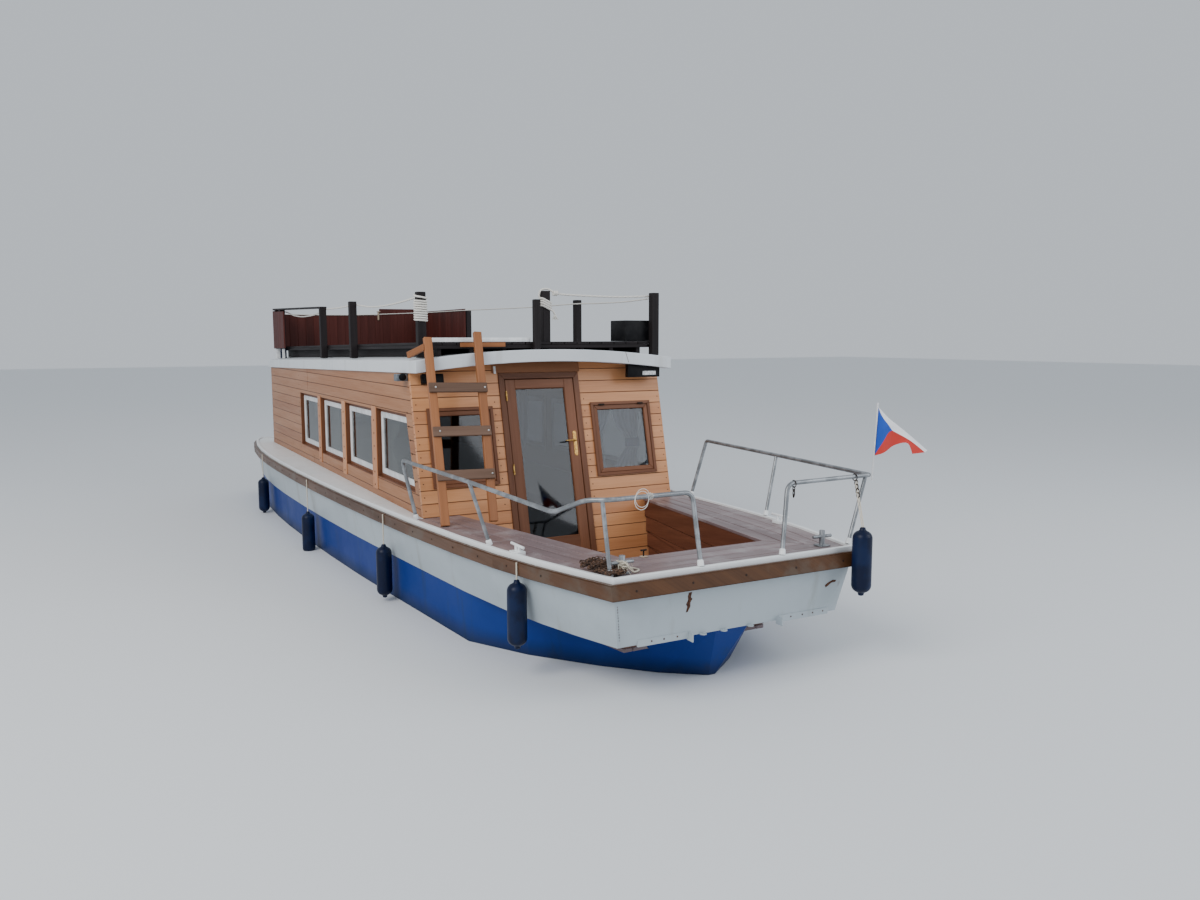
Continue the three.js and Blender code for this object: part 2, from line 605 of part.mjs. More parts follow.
// Roof deck: bearers, fascias, posts and handrail in one frame
const roofTop = (y) => ROOF_Z + ROOF_T + camber(y);
const FASCIA = { t: 30, side: 57, end: 62 };
const BEARERS = [-1080, -760, -420, 0, 420, 760, 1080];
const frameTop = PLAT_Z - PLAT_T - GAP;
function bearer(y) {
  const half = 22;
  const low = roofTop(Math.max(0, Math.abs(y) - half)) + GAP;
  const [x0, x1] = [PLAT_AFT + FASCIA.t - 1, PLAT_FWD - FASCIA.t + 1];
  return solid(prismY([[x0, low + roofDrop(x0)], [x1, low + roofDrop(x1)],
    [x1, frameTop + platDrop(x1)], [x0, frameTop + platDrop(x0)]], y - half, y + half));
}
function fascias() {
  const side = SIDES.map((s) => {
    const [a, b] = [s * (PLAT_W - FASCIA.t), s * PLAT_W].sort((p, q) => p - q);
    return solid(onPlat(box(PLAT_AFT, PLAT_FWD, a, b, PLAT_Z - FASCIA.side, frameTop)));
  });
  const ends = [PLAT_AFT, PLAT_FWD - FASCIA.t].map((x) => solid(onPlat(box(x, x + FASCIA.t,
    -PLAT_W, PLAT_W, PLAT_Z - FASCIA.end, frameTop))));
  return join(side, ends);
}
function post([x, y, top]) {
  const h = POST_W / 2;
  const low = roofTop(Math.abs(y) - h) + roofDrop(x + h) + GAP;
  return solid(box(x - h, x + h, y - h - 0.4, y + h + 0.4, low, top));
}
const gateFront = solid(box(...GATE_FRONT.x, ...GATE_FRONT.y,
  roofTop(GATE_FRONT.y[1]) + roofDrop(GATE_FRONT.x[1]) + GAP, GATE_FRONT.top));
const gateInner = solid(box(...GATE_INNER.x, ...GATE_INNER.y, frameTop - FASCIA.t,
  GATE_INNER.top));
const HANDRAIL = { x: [-4886, -1608], y: [-1285, -1195], low: [2945, 2890], high: [2972, 2914] };
function handrail() {
  const { x, y, low, high } = HANDRAIL;
  return solid(prismY([[x[0], low[0]], [x[1], low[1]], [x[1], high[1]], [x[0], high[0]]], ...y));
}
add('roof_deck_frame', join(BEARERS.map(bearer), fascias(), POSTS.map(post), gateFront,
  gateInner, handrail()), FINISH.dark);

function roofDeckBoards() {
  const slab = solid(onPlat(box(PLAT_AFT, PLAT_FWD - 1, -PLAT_W + 1, PLAT_W - 1, PLAT_Z - PLAT_T,
    PLAT_Z)));
  const pitch = 2 * PLAT_W / PLAT_BOARDS;
  const slits = [...Array(PLAT_BOARDS - 1).keys()].map((i) => {
    const y = -PLAT_W + (i + 1) * pitch;
    return solid(onPlat(box(PLAT_AFT - 50, PLAT_FWD + 50, y - 3, y + 3, PLAT_Z - 20, PLAT_Z + 20)));
  });
  const [px, py] = [GATE_INNER.x, GATE_INNER.y];
  const postHole = solid(box(px[0] - GAP, px[1] + GAP, py[0] - GAP, py[1] + GAP, 2000, 3000));
  return cut(slab, slits, postHole);
}
add('roof_deck_boards', roofDeckBoards(), FINISH.dark);

// Boarded rail panels round the aft end: the port one stands inside its posts
const PANEL = {
  t: 22, x: -4786.5, y: -1302.5, low: 2351, top: 2930, step: 46,
  port: { x: -2930, y: 1184 }, starboard: { x: -3950, top: [2921, 2907] },
};
function panels() {
  const { t, x, y, low, top, port, starboard } = PANEL;
  const aft = solid(box(x, x + t, y, port.y, low, top));
  const portPanel = solid(box(x, port.x, port.y - t, port.y, low, top));
  const overDeck = solid(onPlat(box(x + t + 0.1, PLAT_FWD, 0, 1300, 2000, PLAT_Z + GAP)));
  const side = solid(prismY([[x, low], [starboard.x, low + 13], [starboard.x, starboard.top[1]],
    [x, starboard.top[0]]], y, y + t));
  const step = solid(box(x - 5, x + t + 5, y + 80, 380, top - PANEL.step, top + 50));
  const seams = [];
  for (let v = y + PLANK; v < port.y - 60; v += PLANK) {
    seams.push(solid(box(x + t - 5, x + t + 5, v - 2, v + 2, 2000, 3000)));
    seams.push(solid(box(x - 5, x + 5, v - 2, v + 2, 2000, 3000)));
  }
  for (let u = x + t + PLANK; u < port.x - 60; u += PLANK) {
    seams.push(solid(box(u - 2, u + 2, port.y - t - 5, port.y - t + 5, 2000, 3000)));
    if (u < starboard.x - 60) seams.push(solid(box(u - 2, u + 2, y - 5, y + 5, 2000, 3000)));
  }
  return cut(join(aft, cut(portPanel, overDeck), side), step, seams);
}
add('roof_deck_panels', panels(), FINISH.panel);

const DECK_BOX = { x: [2028, 2335], y: [925, 1235], top: 2693 };
add('roof_deck_box', box(...DECK_BOX.x, ...DECK_BOX.y, PLAT_Z + platDrop(DECK_BOX.x[1]) + GAP,
  DECK_BOX.top), FINISH.black);
const SILL = { depth: 60, y: [-1195, -160], h: 40 };
add('boarding_sill', box(PLAT_FWD - SILL.depth, PLAT_FWD, ...SILL.y, PLAT_Z + GAP,
  PLAT_Z + GAP + SILL.h), FINISH.zinc);

// Ladder from the starboard bench to the roof edge
const LADDER = {
  foot: [[3105, -1321, 877], [3105, -869, 877]],
  top: [[2484, -1240, 2520], [2484, -757, 2570]],
  rungs: [2060, 1676, 1300],
  lean: 0.36,
  stile: [75, 42],
  rung: [90, 24],
  lap: 40,
};
const BRACE = { from: [2524, -1281, 2436], to: [2235, -1345, 2358], size: [60, 30] };
function onStile(i, z) {
  const [a, b] = [LADDER.foot[i], LADDER.top[i]];
  return a.map((v, k) => lerp(v, b[k], (z - a[2]) / (b[2] - a[2])));
}
function ladder() {
  const { stile, rung, lap, lean, top } = LADDER;
  const feet = solid(box(2000, 4000, -2000, 0, 0, deckZ(3130) + GAP));
  const stiles = [0, 1].map((i) => solid(timber(onStile(i, 800), top[i], ...stile, [0, 1, 0])));
  const step = (stile[1] + rung[1]) / 2 - 1;
  const out = [Math.cos(lean), 0, Math.sin(lean)].map((v) => v * step);
  const rungs = LADDER.rungs.map((z) => {
    const a = onStile(0, z + 6).map((v, k) => v + out[k] - (k === 1 ? lap : 0));
    const b = onStile(1, z - 6).map((v, k) => v + out[k] + (k === 1 ? lap : 0));
    return solid(timber(a, b, ...rung, [-Math.sin(lean), 0, Math.cos(lean)]));
  });
  const brace = solid(timber(BRACE.from, BRACE.to, ...BRACE.size, [0, 0, 1]));
  return cut(join(stiles, rungs, brace), feet);
}
add('ladder', ladder(), FINISH.timber);

// Tube rails: the starboard top tube is dented between its posts, the port one stands on the trim
const TUBE = 17;
const foot = (side, x, inset) => [x, side * (beam(x) - inset), deckZ(x) - 30];
const railSeat = join(deckBand(0, -90, GAP), overTrim);
const INNER = 76;
const starboardRail = join(
  solid(tube([foot(-1, 2578, INNER), [2530, -1520, 1420], [4025, -1448, 1412],
    [5030, -1212, 1312], [5330, -1110, 1436], [5440, -1010, 1442], [5475, -350, 1450],
    [5582, -344, deckZ(5582) - 30]], TUBE)),
  solid(rod(foot(-1, 4040, INNER), [4026, -1445, 1405], TUBE - 2)),
  solid(rod(foot(-1, 5480, INNER), [5412, -1030, 1438], TUBE - 2)),
);
add('rail_starboard', cut(starboardRail, railSeat), FINISH.zinc);
const ON_TRIM = TRIM_W / 2;
const portRail = join(
  solid(tube([foot(1, 2790, ON_TRIM), [2860, 1590, 1462], [4110, 1492, 1452],
    [5500, 1239, 1464], [5500, 489, 1445], [5582, 370, deckZ(5582) - 30]], TUBE)),
  solid(rod(foot(1, 4170, ON_TRIM), [4110, 1490, 1446], TUBE - 2)),
  solid(rod(foot(1, 5530, ON_TRIM), [5480, 1220, 1454], TUBE - 2)),
);
add('rail_port', cut(portRail, railSeat), FINISH.zinc);

// Cross bitts at both bow corners
const BITT = { x: 5425, y: 885 };
for (const side of SIDES) {
  const z = deckZ(BITT.x + 45) + GAP;
  const plate = box(-45, 45, -45, 45, 0, 10);
  const stem = disc(0, 0, 4, 22, 118);
  const bar = rod([0, -88, 74], [0, 88, 74], 13);
  add(side > 0 ? 'bitt_port' : 'bitt_starboard', join(solid(plate), solid(stem), solid(bar)),
    FINISH.zinc, [BITT.x, side * BITT.y, z]);
}

// Fenders: the port one hangs before the bow rub rail, the others by lanyards at the side
const FENDER_H = 522;
const fenderShape = [[12, 0], [26, 18], [58, 52], [74, 92], [74, 428], [58, 468], [26, 502],
  [12, FENDER_H]];
function rubOut(x) {
  const z = deckZ(x) - 20;
  return Math.max(hullSide(x, z) + RUB_T, hullSide(x, z - RUB_H) + RUB_T + 14);
}
function hungFender(x, top) {
  const line = rod([0, 0, FENDER_H - 4], [0, 0, deckZ(x) - 24 - top + FENDER_H], 6, 8);
  return join(solid(turned(fenderShape)), solid(line));
}
const HUNG = { bow: [4640, 760], waist: [2050, 560], quarter: [-600, 470], stern: [-3450, 520] };
for (const [name, [x, top]] of Object.entries(HUNG)) {
  const y = -rubOut(x) - 6.3;
  add(`fender_${name}`, hungFender(x, top), FINISH.navy, [x, y, top - FENDER_H]);
}
const FENDER_FLATS = 72.2;
add('fender_port', turned(fenderShape), FINISH.navy,
  [BOW_X + RUB_T + 14 + FENDER_FLATS + GAP, 1010, 592]);

// Flag staff outside the corner of the port rail, and the flag on it
const STAFF = { foot: [5488, 1233.5, 1400], top: [5536, 1292, 2004], r: 7 };
add('flag_staff', rod(STAFF.foot, STAFF.top, STAFF.r, 8), FINISH.white);
function flag() {
  const at = (t) => STAFF.foot.map((v, k) => lerp(v, STAFF.top[k], t));
  const low = at(0.35);
  const high = at(0.98);
  const row = ([x, y, z]) => [[x + 4.6, y + 5.6, z], [x + 8.6, y + 5.6, z]];
  const mid = [[5600, 1470, 1590], [5604, 1480, 1870]];
  const end = [[5678, 1700, 1628], [5680, 1712, 1660]];
  const rows = [[low, high], mid, end].map(([a, b]) => [...row(a), ...row(b).reverse()]);
  const pos = rows.flat(2);
  const idx = [];
  for (let i = 0; i < 2; i++) {
    for (let j = 0; j < 4; j++) {
      const a = 4 * i + j;
      const b = 4 * i + (j + 1) % 4;
      idx.push(a, b, b + 4, a, b + 4, a + 4);
    }
  }
  idx.push(0, 3, 2, 0, 2, 1, 8, 9, 10, 8, 10, 11);
  const g = new THREE.BufferGeometry();
  g.setAttribute('position', new THREE.Float32BufferAttribute(pos, 3));
  g.setIndex(idx);
  return solid(g).volume() < 0 ? g.setIndex(idx.reverse()) : g;
}
add('flag', flag(), FINISH.flag);

// Lamps: a light box right under the overhang, a lamp on the front wall and one on the side
const lightBox = solid(box(2398, 2452, 892, 1274, 2112, 2400));
add('light_bar', cut(lightBox, aboveRoof), FINISH.black);
add('lamp_front', wallBox(-1250, -1040, 2086, 2172, GAP, 60), FINISH.black);
add('lamp_side', box(2105, 2215, -1450, -CABIN_W - GAP, 2118, 2182), FINISH.black);

// Propeller and rudder under the counter
const PROP = { x: SKEG_AFT - 0.6, hub: 40, tip: 160, length: 140 };
function propeller() {
  const hub = solid(rod([0, 0, 0], [-PROP.length, 0, 0], PROP.hub, 14));
  const blades = [0, 1, 2].map((i) => {
    const blade = new THREE.BoxGeometry(10, 92, PROP.tip - 24);
    blade.translate(0, 0, (PROP.tip + 24) / 2);
    blade.rotateZ(0.75);
    blade.translate(-PROP.length / 2, 0, 0);
    return solid(blade.rotateX(i * 2 * Math.PI / 3));
  });
  return join(hub, blades);
}
add('propeller', propeller(), FINISH.brass, [PROP.x, 0, SHAFT_Z]);

const RUDDER = { x: -5160, top: -36, low: KEEL_Z + GAP };
function rudder() {
  const stock = solid(disc(0, 0, RUDDER.low, 24, RUDDER.top - RUDDER.low, 14));
  const outline = [[62, -75], [62, -425], [-330, -425], [-350, -80]];
  return join(stock, solid(prismY(outline, -11, 11)));
}
add('rudder', rudder(), FINISH.blue, [RUDDER.x, 0, 0]);

export default boat;
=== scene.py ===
# %% [markdown]
# A houseboat, dressed over its solid model.
# The solid model gives every place and size. This script keeps it as a frame and gives each part
# the surface that the real one has: planks with grain, joinery, cloth, rope, galvanised tube.
# All lengths are in metres: +X to the bow, +Y to port, +Z up, and z = 0 is the water.

# %% Load the solid model
import json
import math
import random

import bmesh
import bpy
import numpy as np
from mathutils import Matrix, Vector, noise


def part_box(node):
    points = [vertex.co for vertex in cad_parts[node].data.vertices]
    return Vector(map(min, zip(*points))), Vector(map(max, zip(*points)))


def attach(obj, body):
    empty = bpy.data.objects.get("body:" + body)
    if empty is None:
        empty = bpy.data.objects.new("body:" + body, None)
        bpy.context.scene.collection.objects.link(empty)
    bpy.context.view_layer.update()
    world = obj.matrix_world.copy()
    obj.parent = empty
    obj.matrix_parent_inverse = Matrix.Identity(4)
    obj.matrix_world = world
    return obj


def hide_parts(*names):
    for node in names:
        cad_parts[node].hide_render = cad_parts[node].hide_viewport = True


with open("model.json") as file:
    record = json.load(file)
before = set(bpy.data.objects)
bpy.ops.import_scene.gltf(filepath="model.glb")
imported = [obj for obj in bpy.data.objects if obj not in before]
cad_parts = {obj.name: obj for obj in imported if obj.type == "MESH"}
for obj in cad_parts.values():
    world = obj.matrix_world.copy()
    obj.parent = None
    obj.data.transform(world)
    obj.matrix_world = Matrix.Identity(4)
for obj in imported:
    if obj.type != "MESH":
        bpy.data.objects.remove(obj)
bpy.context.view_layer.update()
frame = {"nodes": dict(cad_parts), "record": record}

# %% [markdown]
# The camera comes first, because it decides what needs care. It stands on the quay side, at eye
# height, off the starboard bow. A camera is only a place, a direction and a lens: the direction is
# given here as a compass turn (yaw) and a dip (pitch), which are easier to read than Euler angles.

# %% Camera
CAMERA_PLACE = Vector((11.003, -4.091, 2.527))
CAMERA_YAW = math.radians(151.43)
CAMERA_PITCH = math.radians(-6.70)
CAMERA_ROLL = math.radians(-0.11)
LENS_MM = 28.96


def direction(yaw, pitch):
    level = math.cos(pitch)
    return Vector((math.cos(yaw) * level, math.sin(yaw) * level, math.sin(pitch)))


camera = bpy.data.objects.new("camera", bpy.data.cameras.new("camera"))
camera.data.lens = LENS_MM
camera.data.sensor_width = 36.0
camera.data.clip_end = 300.0
turn = direction(CAMERA_YAW, CAMERA_PITCH).to_track_quat("-Z", "Y").to_matrix().to_4x4()
camera.matrix_world = Matrix.Translation(CAMERA_PLACE) @ turn @ Matrix.Rotation(CAMERA_ROLL, 4, "Z")
bpy.context.scene.collection.objects.link(camera)
bpy.context.scene.camera = camera

# %% [markdown]
# Soft daylight: a pale sky all round, one broad lamp high on the camera's left, and a weaker one
# from the right so that the shaded side keeps its colour. Broad lamps give the soft shadows of an
# overcast day. The floor lies at the waterline and cuts the hull as the water does.

# %% Floor and lights
FLOOR_SIZE = 160.0


def area_light(name, place, target, size, power, color):
    light = bpy.data.lights.new(name, "AREA")
    light.shape = "DISK"
    light.size = size
    light.energy = power
    light.color = color
    lamp = bpy.data.objects.new(name, light)
    aim = (Vector(target) - Vector(place)).to_track_quat("-Z", "Y").to_matrix().to_4x4()
    lamp.matrix_world = Matrix.Translation(Vector(place)) @ aim
    bpy.context.scene.collection.objects.link(lamp)
    return lamp


area_light("key_light", (9.0, -15.0, 13.0), (0.0, 0.0, 1.2), 12.0, 2600.0, (1.0, 0.98, 0.95))
area_light("fill_light", (15.0, 10.0, 9.0), (2.0, 0.0, 1.2), 12.0, 1100.0, (0.93, 0.96, 1.0))
world = bpy.data.worlds.new("sky")
world.use_nodes = True
world.node_tree.nodes["Background"].inputs["Color"].default_value = (0.82, 0.88, 0.95, 1.0)
world.node_tree.nodes["Background"].inputs["Strength"].default_value = 0.75
bpy.context.scene.world = world

# %% [markdown]
# A few helpers keep every node tree readable. `make` adds a node, sets its properties and feeds its
# sockets, either with a plain value or with another node's output. `add` does it for shader nodes,
# and `surface` feeds the shader itself in the same way, with a bump where one is wanted.

# %% Shader helpers


def feed(tree, socket, value):
    if isinstance(value, bpy.types.NodeSocket):
        tree.links.new(value, socket)
    else:
        socket.default_value = value


def make(tree, kind, inputs=None, **settings):
    made = tree.nodes.new(kind)
    for key, value in settings.items():
        setattr(made, key, value)
    for key, value in (inputs or {}).items():
        feed(tree, made.inputs[key], value)
    return made


def add(tree, kind, inputs=None, **settings):
    return make(tree, "ShaderNode" + kind, inputs, **settings)


def calc(tree, operation, a, b=0.0, c=0.0):
    return add(tree, "Math", {0: a, 1: b, 2: c}, operation=operation).outputs[0]


def blend_color(tree, factor, a, b):
    """Mixes two colours; a Mix node's colour sockets have the numbers 6 and 7."""
    a, b = (c if isinstance(c, bpy.types.NodeSocket) else (*c, 1.0) for c in (a, b))
    return add(tree, "Mix", {0: factor, 6: a, 7: b}, data_type="RGBA").outputs[2]


def ramp(tree, value, low, high, out_low=0.0, out_high=1.0):
    sockets = {"Value": value, "From Min": low, "From Max": high, "To Min": out_low,
               "To Max": out_high}
    return add(tree, "MapRange", sockets).outputs["Result"]


def new_tree(name, kind, inputs, outputs):
    """A node tree with named sockets, and its two end nodes."""
    tree = bpy.data.node_groups.new(name, kind)
    for label, sort, value in inputs:
        socket = tree.interface.new_socket(label, in_out="INPUT", socket_type="NodeSocket" + sort)
        if value is not None:
            socket.default_value = value
    for label, sort in outputs:
        tree.interface.new_socket(label, in_out="OUTPUT", socket_type="NodeSocket" + sort)
    return tree, tree.nodes.new("NodeGroupInput"), tree.nodes.new("NodeGroupOutput")


def place_group(tree, group, inputs):
    return add(tree, "Group", inputs, node_tree=group)


def new_material(name):
    material = bpy.data.materials.new(name)
    material.use_nodes = True
    return material, material.node_tree, material.node_tree.nodes["Principled BSDF"]


def surface(tree, shader, sockets, bump=None):
    """Feeds the shader's sockets; bump is its strength, its depth in metres and its height."""
    for key, value in sockets.items():
        feed(tree, shader.inputs[key], value)
    if bump:
        lift = add(tree, "Bump", dict(zip(("Strength", "Distance", "Height"), bump)))
        feed(tree, shader.inputs["Normal"], lift.outputs[0])


# %% [markdown]
# Most of the boat is wood, so its grain is one node group. It takes how far a point lies
# along the board and across it, and a number that is different for each board. The noise is
# stretched along the board, which is all that grain is, and each board gets its own shade.

# %% Wood grain group
grain_group, gi, go = new_tree(
    "wood_grain", "ShaderNodeTree",
    [("Along", "Float", 0.0), ("Across", "Float", 0.0), ("Board", "Float", 0.0)],
    [("Grain", "Float"), ("Shade", "Float"), ("Height", "Float")],
)
shift = calc(grain_group, "MULTIPLY", gi.outputs["Board"], 41.7)
along = calc(grain_group, "ADD", gi.outputs["Along"], shift)
across = calc(grain_group, "ADD", gi.outputs["Across"], shift)
fine_place = add(grain_group, "CombineXYZ", {
    "X": calc(grain_group, "MULTIPLY", along, 2.2),
    "Y": calc(grain_group, "MULTIPLY", across, 75.0), "Z": shift})
fine = add(grain_group, "TexNoise", {"Vector": fine_place.outputs[0], "Scale": 1.0, "Detail": 4.0,
                                     "Roughness": 0.62, "Distortion": 0.7})
broad_place = add(grain_group, "CombineXYZ", {
    "X": calc(grain_group, "MULTIPLY", along, 0.8),
    "Y": calc(grain_group, "MULTIPLY", across, 9.0), "Z": shift})
broad = add(grain_group, "TexNoise", {"Vector": broad_place.outputs[0], "Scale": 1.0,
                                      "Detail": 2.0})
own_shade = add(grain_group, "TexWhiteNoise", {"W": gi.outputs["Board"]}, noise_dimensions="1D")
both = calc(grain_group, "MULTIPLY_ADD", broad.outputs[0], 0.55,
            calc(grain_group, "MULTIPLY", fine.outputs[0], 0.45))
grain_group.links.new(ramp(grain_group, both, 0.32, 0.68), go.inputs["Grain"])
grain_group.links.new(own_shade.outputs["Value"], go.inputs["Shade"])
grain_group.links.new(fine.outputs[0], go.inputs["Height"])

# %% [markdown]
# Weather shows as runs of dirt down a face and as soft blotches. Both come from one group: noise
# that can be drawn out downwards, cut at a threshold so that only its peaks show. A group puts out
# masks and values only; each material mixes its own colours with them.

# %% Weather group
weather_group, wi, wo = new_tree(
    "weather", "ShaderNodeTree",
    [("Scale", "Float", 2.0), ("Run", "Float", 0.15), ("Cut", "Float", 0.5)],
    [("Mask", "Float"), ("Soft", "Float")],
)
here = add(weather_group, "TexCoord").outputs["Object"]
apart = add(weather_group, "SeparateXYZ", {0: here})
drawn = add(weather_group, "CombineXYZ", {
    "X": apart.outputs[0], "Y": apart.outputs[1],
    "Z": calc(weather_group, "MULTIPLY", apart.outputs[2], wi.outputs["Run"])})
spots = add(weather_group, "TexNoise", {"Vector": drawn.outputs[0], "Scale": wi.outputs["Scale"],
                                        "Detail": 5.0, "Roughness": 0.6})
edge_high = calc(weather_group, "ADD", wi.outputs["Cut"], 0.12)
mask = add(weather_group, "MapRange", {"Value": spots.outputs[0], "From Min": wi.outputs["Cut"],
                                       "From Max": edge_high})
weather_group.links.new(mask.outputs[0], wo.inputs["Mask"])
weather_group.links.new(spots.outputs[0], wo.inputs["Soft"])

# %% [markdown]
# Boards that this script builds carry their own map: U runs along the board, V across it, and the
# attribute `board` is a number for each one. The cabin walls come from the solid model, so their
# planks are found from the height instead: every PLANK of height starts a new board.

# %% Wood materials
PLANK = 0.124
WOOD_SHINE = 0.22        # oiled wood throws back less of the sky than plastic does
# The dark of the grooves between planks, a painted shadow.
GROOVE_SHADE_COLOR = (0.05, 0.02, 0.01)


def wood(name, dark, light, rough=0.5, coat=0.0, bump=0.25, worn=None):
    material, tree, shader = new_material(name)
    place = add(tree, "SeparateXYZ", {0: add(tree, "TexCoord").outputs["UV"]})
    board = add(tree, "Attribute", attribute_name="board").outputs["Fac"]
    grain = place_group(tree, grain_group, {"Along": place.outputs[0], "Across": place.outputs[1],
                                            "Board": board})
    finish_wood(tree, shader, grain, dark, light, rough, coat, bump, worn)
    return material


def finish_wood(tree, shader, grain, dark, light, rough, coat, bump, worn=None, groove_shade=None):
    """What all wood shares: rubbed patches, on the bench a painted sky sheen, and painted shade in
    the seams.
    """
    tone = calc(tree, "MULTIPLY_ADD", grain.outputs["Shade"], 0.45,
                calc(tree, "MULTIPLY", grain.outputs["Grain"], 0.6))
    color = blend_color(tree, tone, dark, light)
    # On the rub rail the patches are wear; on the bench they paint the sky's reflection.
    if worn:
        weather = place_group(tree, weather_group, {"Scale": 3.5, "Run": 1.0, "Cut": 0.52})
        color = blend_color(tree, calc(tree, "MULTIPLY", weather.outputs["Mask"], 0.6), color, worn)
    if groove_shade:
        color = blend_color(tree, groove_shade, color, GROOVE_SHADE_COLOR)
    surface(tree, shader, {
        "Base Color": color, "Specular IOR Level": WOOD_SHINE,
        "Roughness": ramp(tree, grain.outputs["Grain"], 0.0, 1.0, rough + 0.12, rough - 0.06),
        "Coat Weight": coat, "Coat Roughness": 0.25}, (bump, 0.002, grain.outputs["Height"]))


def wall_planks(name, along_axis, up, start, dark, light):
    material, tree, shader = new_material(name)
    here = add(tree, "TexCoord").outputs["Object"]
    along = add(tree, "VectorMath", {0: here, 1: along_axis}, operation="DOT_PRODUCT").outputs[1]
    height = add(tree, "VectorMath", {0: here, 1: up}, operation="DOT_PRODUCT").outputs[1]
    rows = calc(tree, "DIVIDE", calc(tree, "SUBTRACT", height, start), PLANK)
    row = calc(tree, "FLOOR", rows)
    part = calc(tree, "SUBTRACT", rows, row)
    near = calc(tree, "MINIMUM", part, calc(tree, "SUBTRACT", 1.0, part))
    # A dark line along each seam between planks paints the shadow in its groove.
    groove_shade = ramp(tree, near, 0.018, 0.045, 0.8, 0.0)
    grain = place_group(tree, grain_group, {"Along": along, "Across": height, "Board": row})
    finish_wood(tree, shader, grain, dark, light, 0.42, 0.25, 0.2, groove_shade=groove_shade)
    return material


# The bench has lighter, cooler colours than its wood and paler patches, which paint the sky's
# reflection on its sheen.
BENCH_WOOD = wood("bench_wood", (0.12, 0.08, 0.082), (0.26, 0.195, 0.2), 0.38, 0.15, 0.5,
                  worn=(0.33, 0.29, 0.3))
LINING_WOOD = wood("lining_wood", (0.078, 0.025, 0.014), (0.185, 0.066, 0.036), 0.45, 0.1)
JOINERY = wood("joinery", (0.095, 0.034, 0.015), (0.21, 0.08, 0.036), 0.45, 0.05)
RUB_WOOD = wood("varnished_rub_rail", (0.042, 0.017, 0.007), (0.118, 0.051, 0.021), 0.4, 0.15,
                worn=(0.1, 0.075, 0.055))
# Near black; as the fascias of the roof deck it paints the shade under the deck's edge.
DARK_WOOD = wood("dark_timber", (0.007, 0.0055, 0.006), (0.019, 0.014, 0.015), 0.6, 0.0, 0.5)
PANEL_WOOD = wood("panel_boards", (0.04, 0.0085, 0.0065), (0.095, 0.021, 0.016), 0.55, 0.0, 0.3)
LADDER_WOOD = wood("ladder_timber", (0.2, 0.072, 0.025), (0.37, 0.145, 0.055), 0.5, 0.1, 0.3)
RUNG_WOOD = wood("ladder_rungs", (0.075, 0.042, 0.028), (0.19, 0.115, 0.08), 0.6, 0.0, 0.4)
PALE_WOOD = wood("pale_timber", (0.3, 0.22, 0.15), (0.5, 0.4, 0.3), 0.55)
# Darker than the wall planks: it paints the shade under the roof's edge over the door.
HEAD_WOOD = wood("door_head_timber", (0.17, 0.068, 0.03), (0.31, 0.135, 0.062), 0.5)
POST_WOOD = wood("window_posts", (0.42, 0.16, 0.06), (0.6, 0.27, 0.11), 0.4, 0.3)

# %% [markdown]
# Paint on steel is never one colour. The white hull has brown runs under the rub rail, grey
# smears, and a few rust spots; the blue bottom darkens to the water. Each is the weather group
# again, with other values, and height picks where the dark shows.

# %% Painted steel
RUST_COLOR = (0.16, 0.06, 0.025)
TINT_TOP = 0.16         # the bottom starts to darken at this height over the water


def painted(name, color, dirt, rough=0.35, dirt_amount=0.5, rust=0.0, low_tint=None, shine=0.4):
    material, tree, shader = new_material(name)
    runs = place_group(tree, weather_group, {"Scale": 5.0, "Run": 0.12, "Cut": 0.56})
    blotch = place_group(tree, weather_group, {"Scale": 1.3, "Run": 1.0, "Cut": 0.5})
    made = blend_color(tree, calc(tree, "MULTIPLY", runs.outputs["Mask"], dirt_amount), color, dirt)
    pale = tuple(0.82 * c for c in color)
    made = blend_color(tree, calc(tree, "MULTIPLY", blotch.outputs["Mask"], 0.35), made, pale)
    if rust:
        spots = place_group(tree, weather_group, {"Scale": 7.0, "Run": 0.5, "Cut": 0.7})
        made = blend_color(tree, calc(tree, "MULTIPLY", spots.outputs["Mask"], rust), made,
                           RUST_COLOR)
    if low_tint:
        height = add(tree, "SeparateXYZ", {0: add(tree, "TexCoord").outputs["Object"]}).outputs[2]
        made = blend_color(tree, ramp(tree, height, TINT_TOP, 0.0, 0.0, 0.75), made, low_tint)
    surface(tree, shader, {
        "Base Color": made, "Specular IOR Level": shine,
        "Roughness": ramp(tree, blotch.outputs["Soft"], 0.3, 0.7, rough, rough + 0.2)},
        (0.12, 0.004, blotch.outputs["Soft"]))
    return material


# The hull's white is a darker, bluer grey than the deck's: it paints the sky-lit shade on the hull.
WHITE_HULL = painted("white_hull_paint", (0.4, 0.455, 0.49), (0.23, 0.22, 0.18), 0.32, 0.35, 0.5)
WHITE_DECK = painted("white_deck_paint", (0.8, 0.82, 0.83), (0.46, 0.44, 0.38), 0.38, 0.2, 0.15)
BLUE_PAINT = painted("blue_bottom_paint", (0.003, 0.028, 0.19), (0.008, 0.03, 0.09), 0.4, 0.5, 0.0,
                     low_tint=(0.004, 0.012, 0.025), shine=0.2)
ROOF_WHITE = painted("roof_paint", (0.66, 0.69, 0.72), (0.4, 0.39, 0.35), 0.35, 0.3, 0.0)

# %% [markdown]
# Metal, plastic and cloth need less: one noise each, for the dull patches on galvanised tube, the
# scuffs on black plastic, the weave of a curtain. Their plain numbers sit on the shader itself.

# %% Metals, plastics and cloth


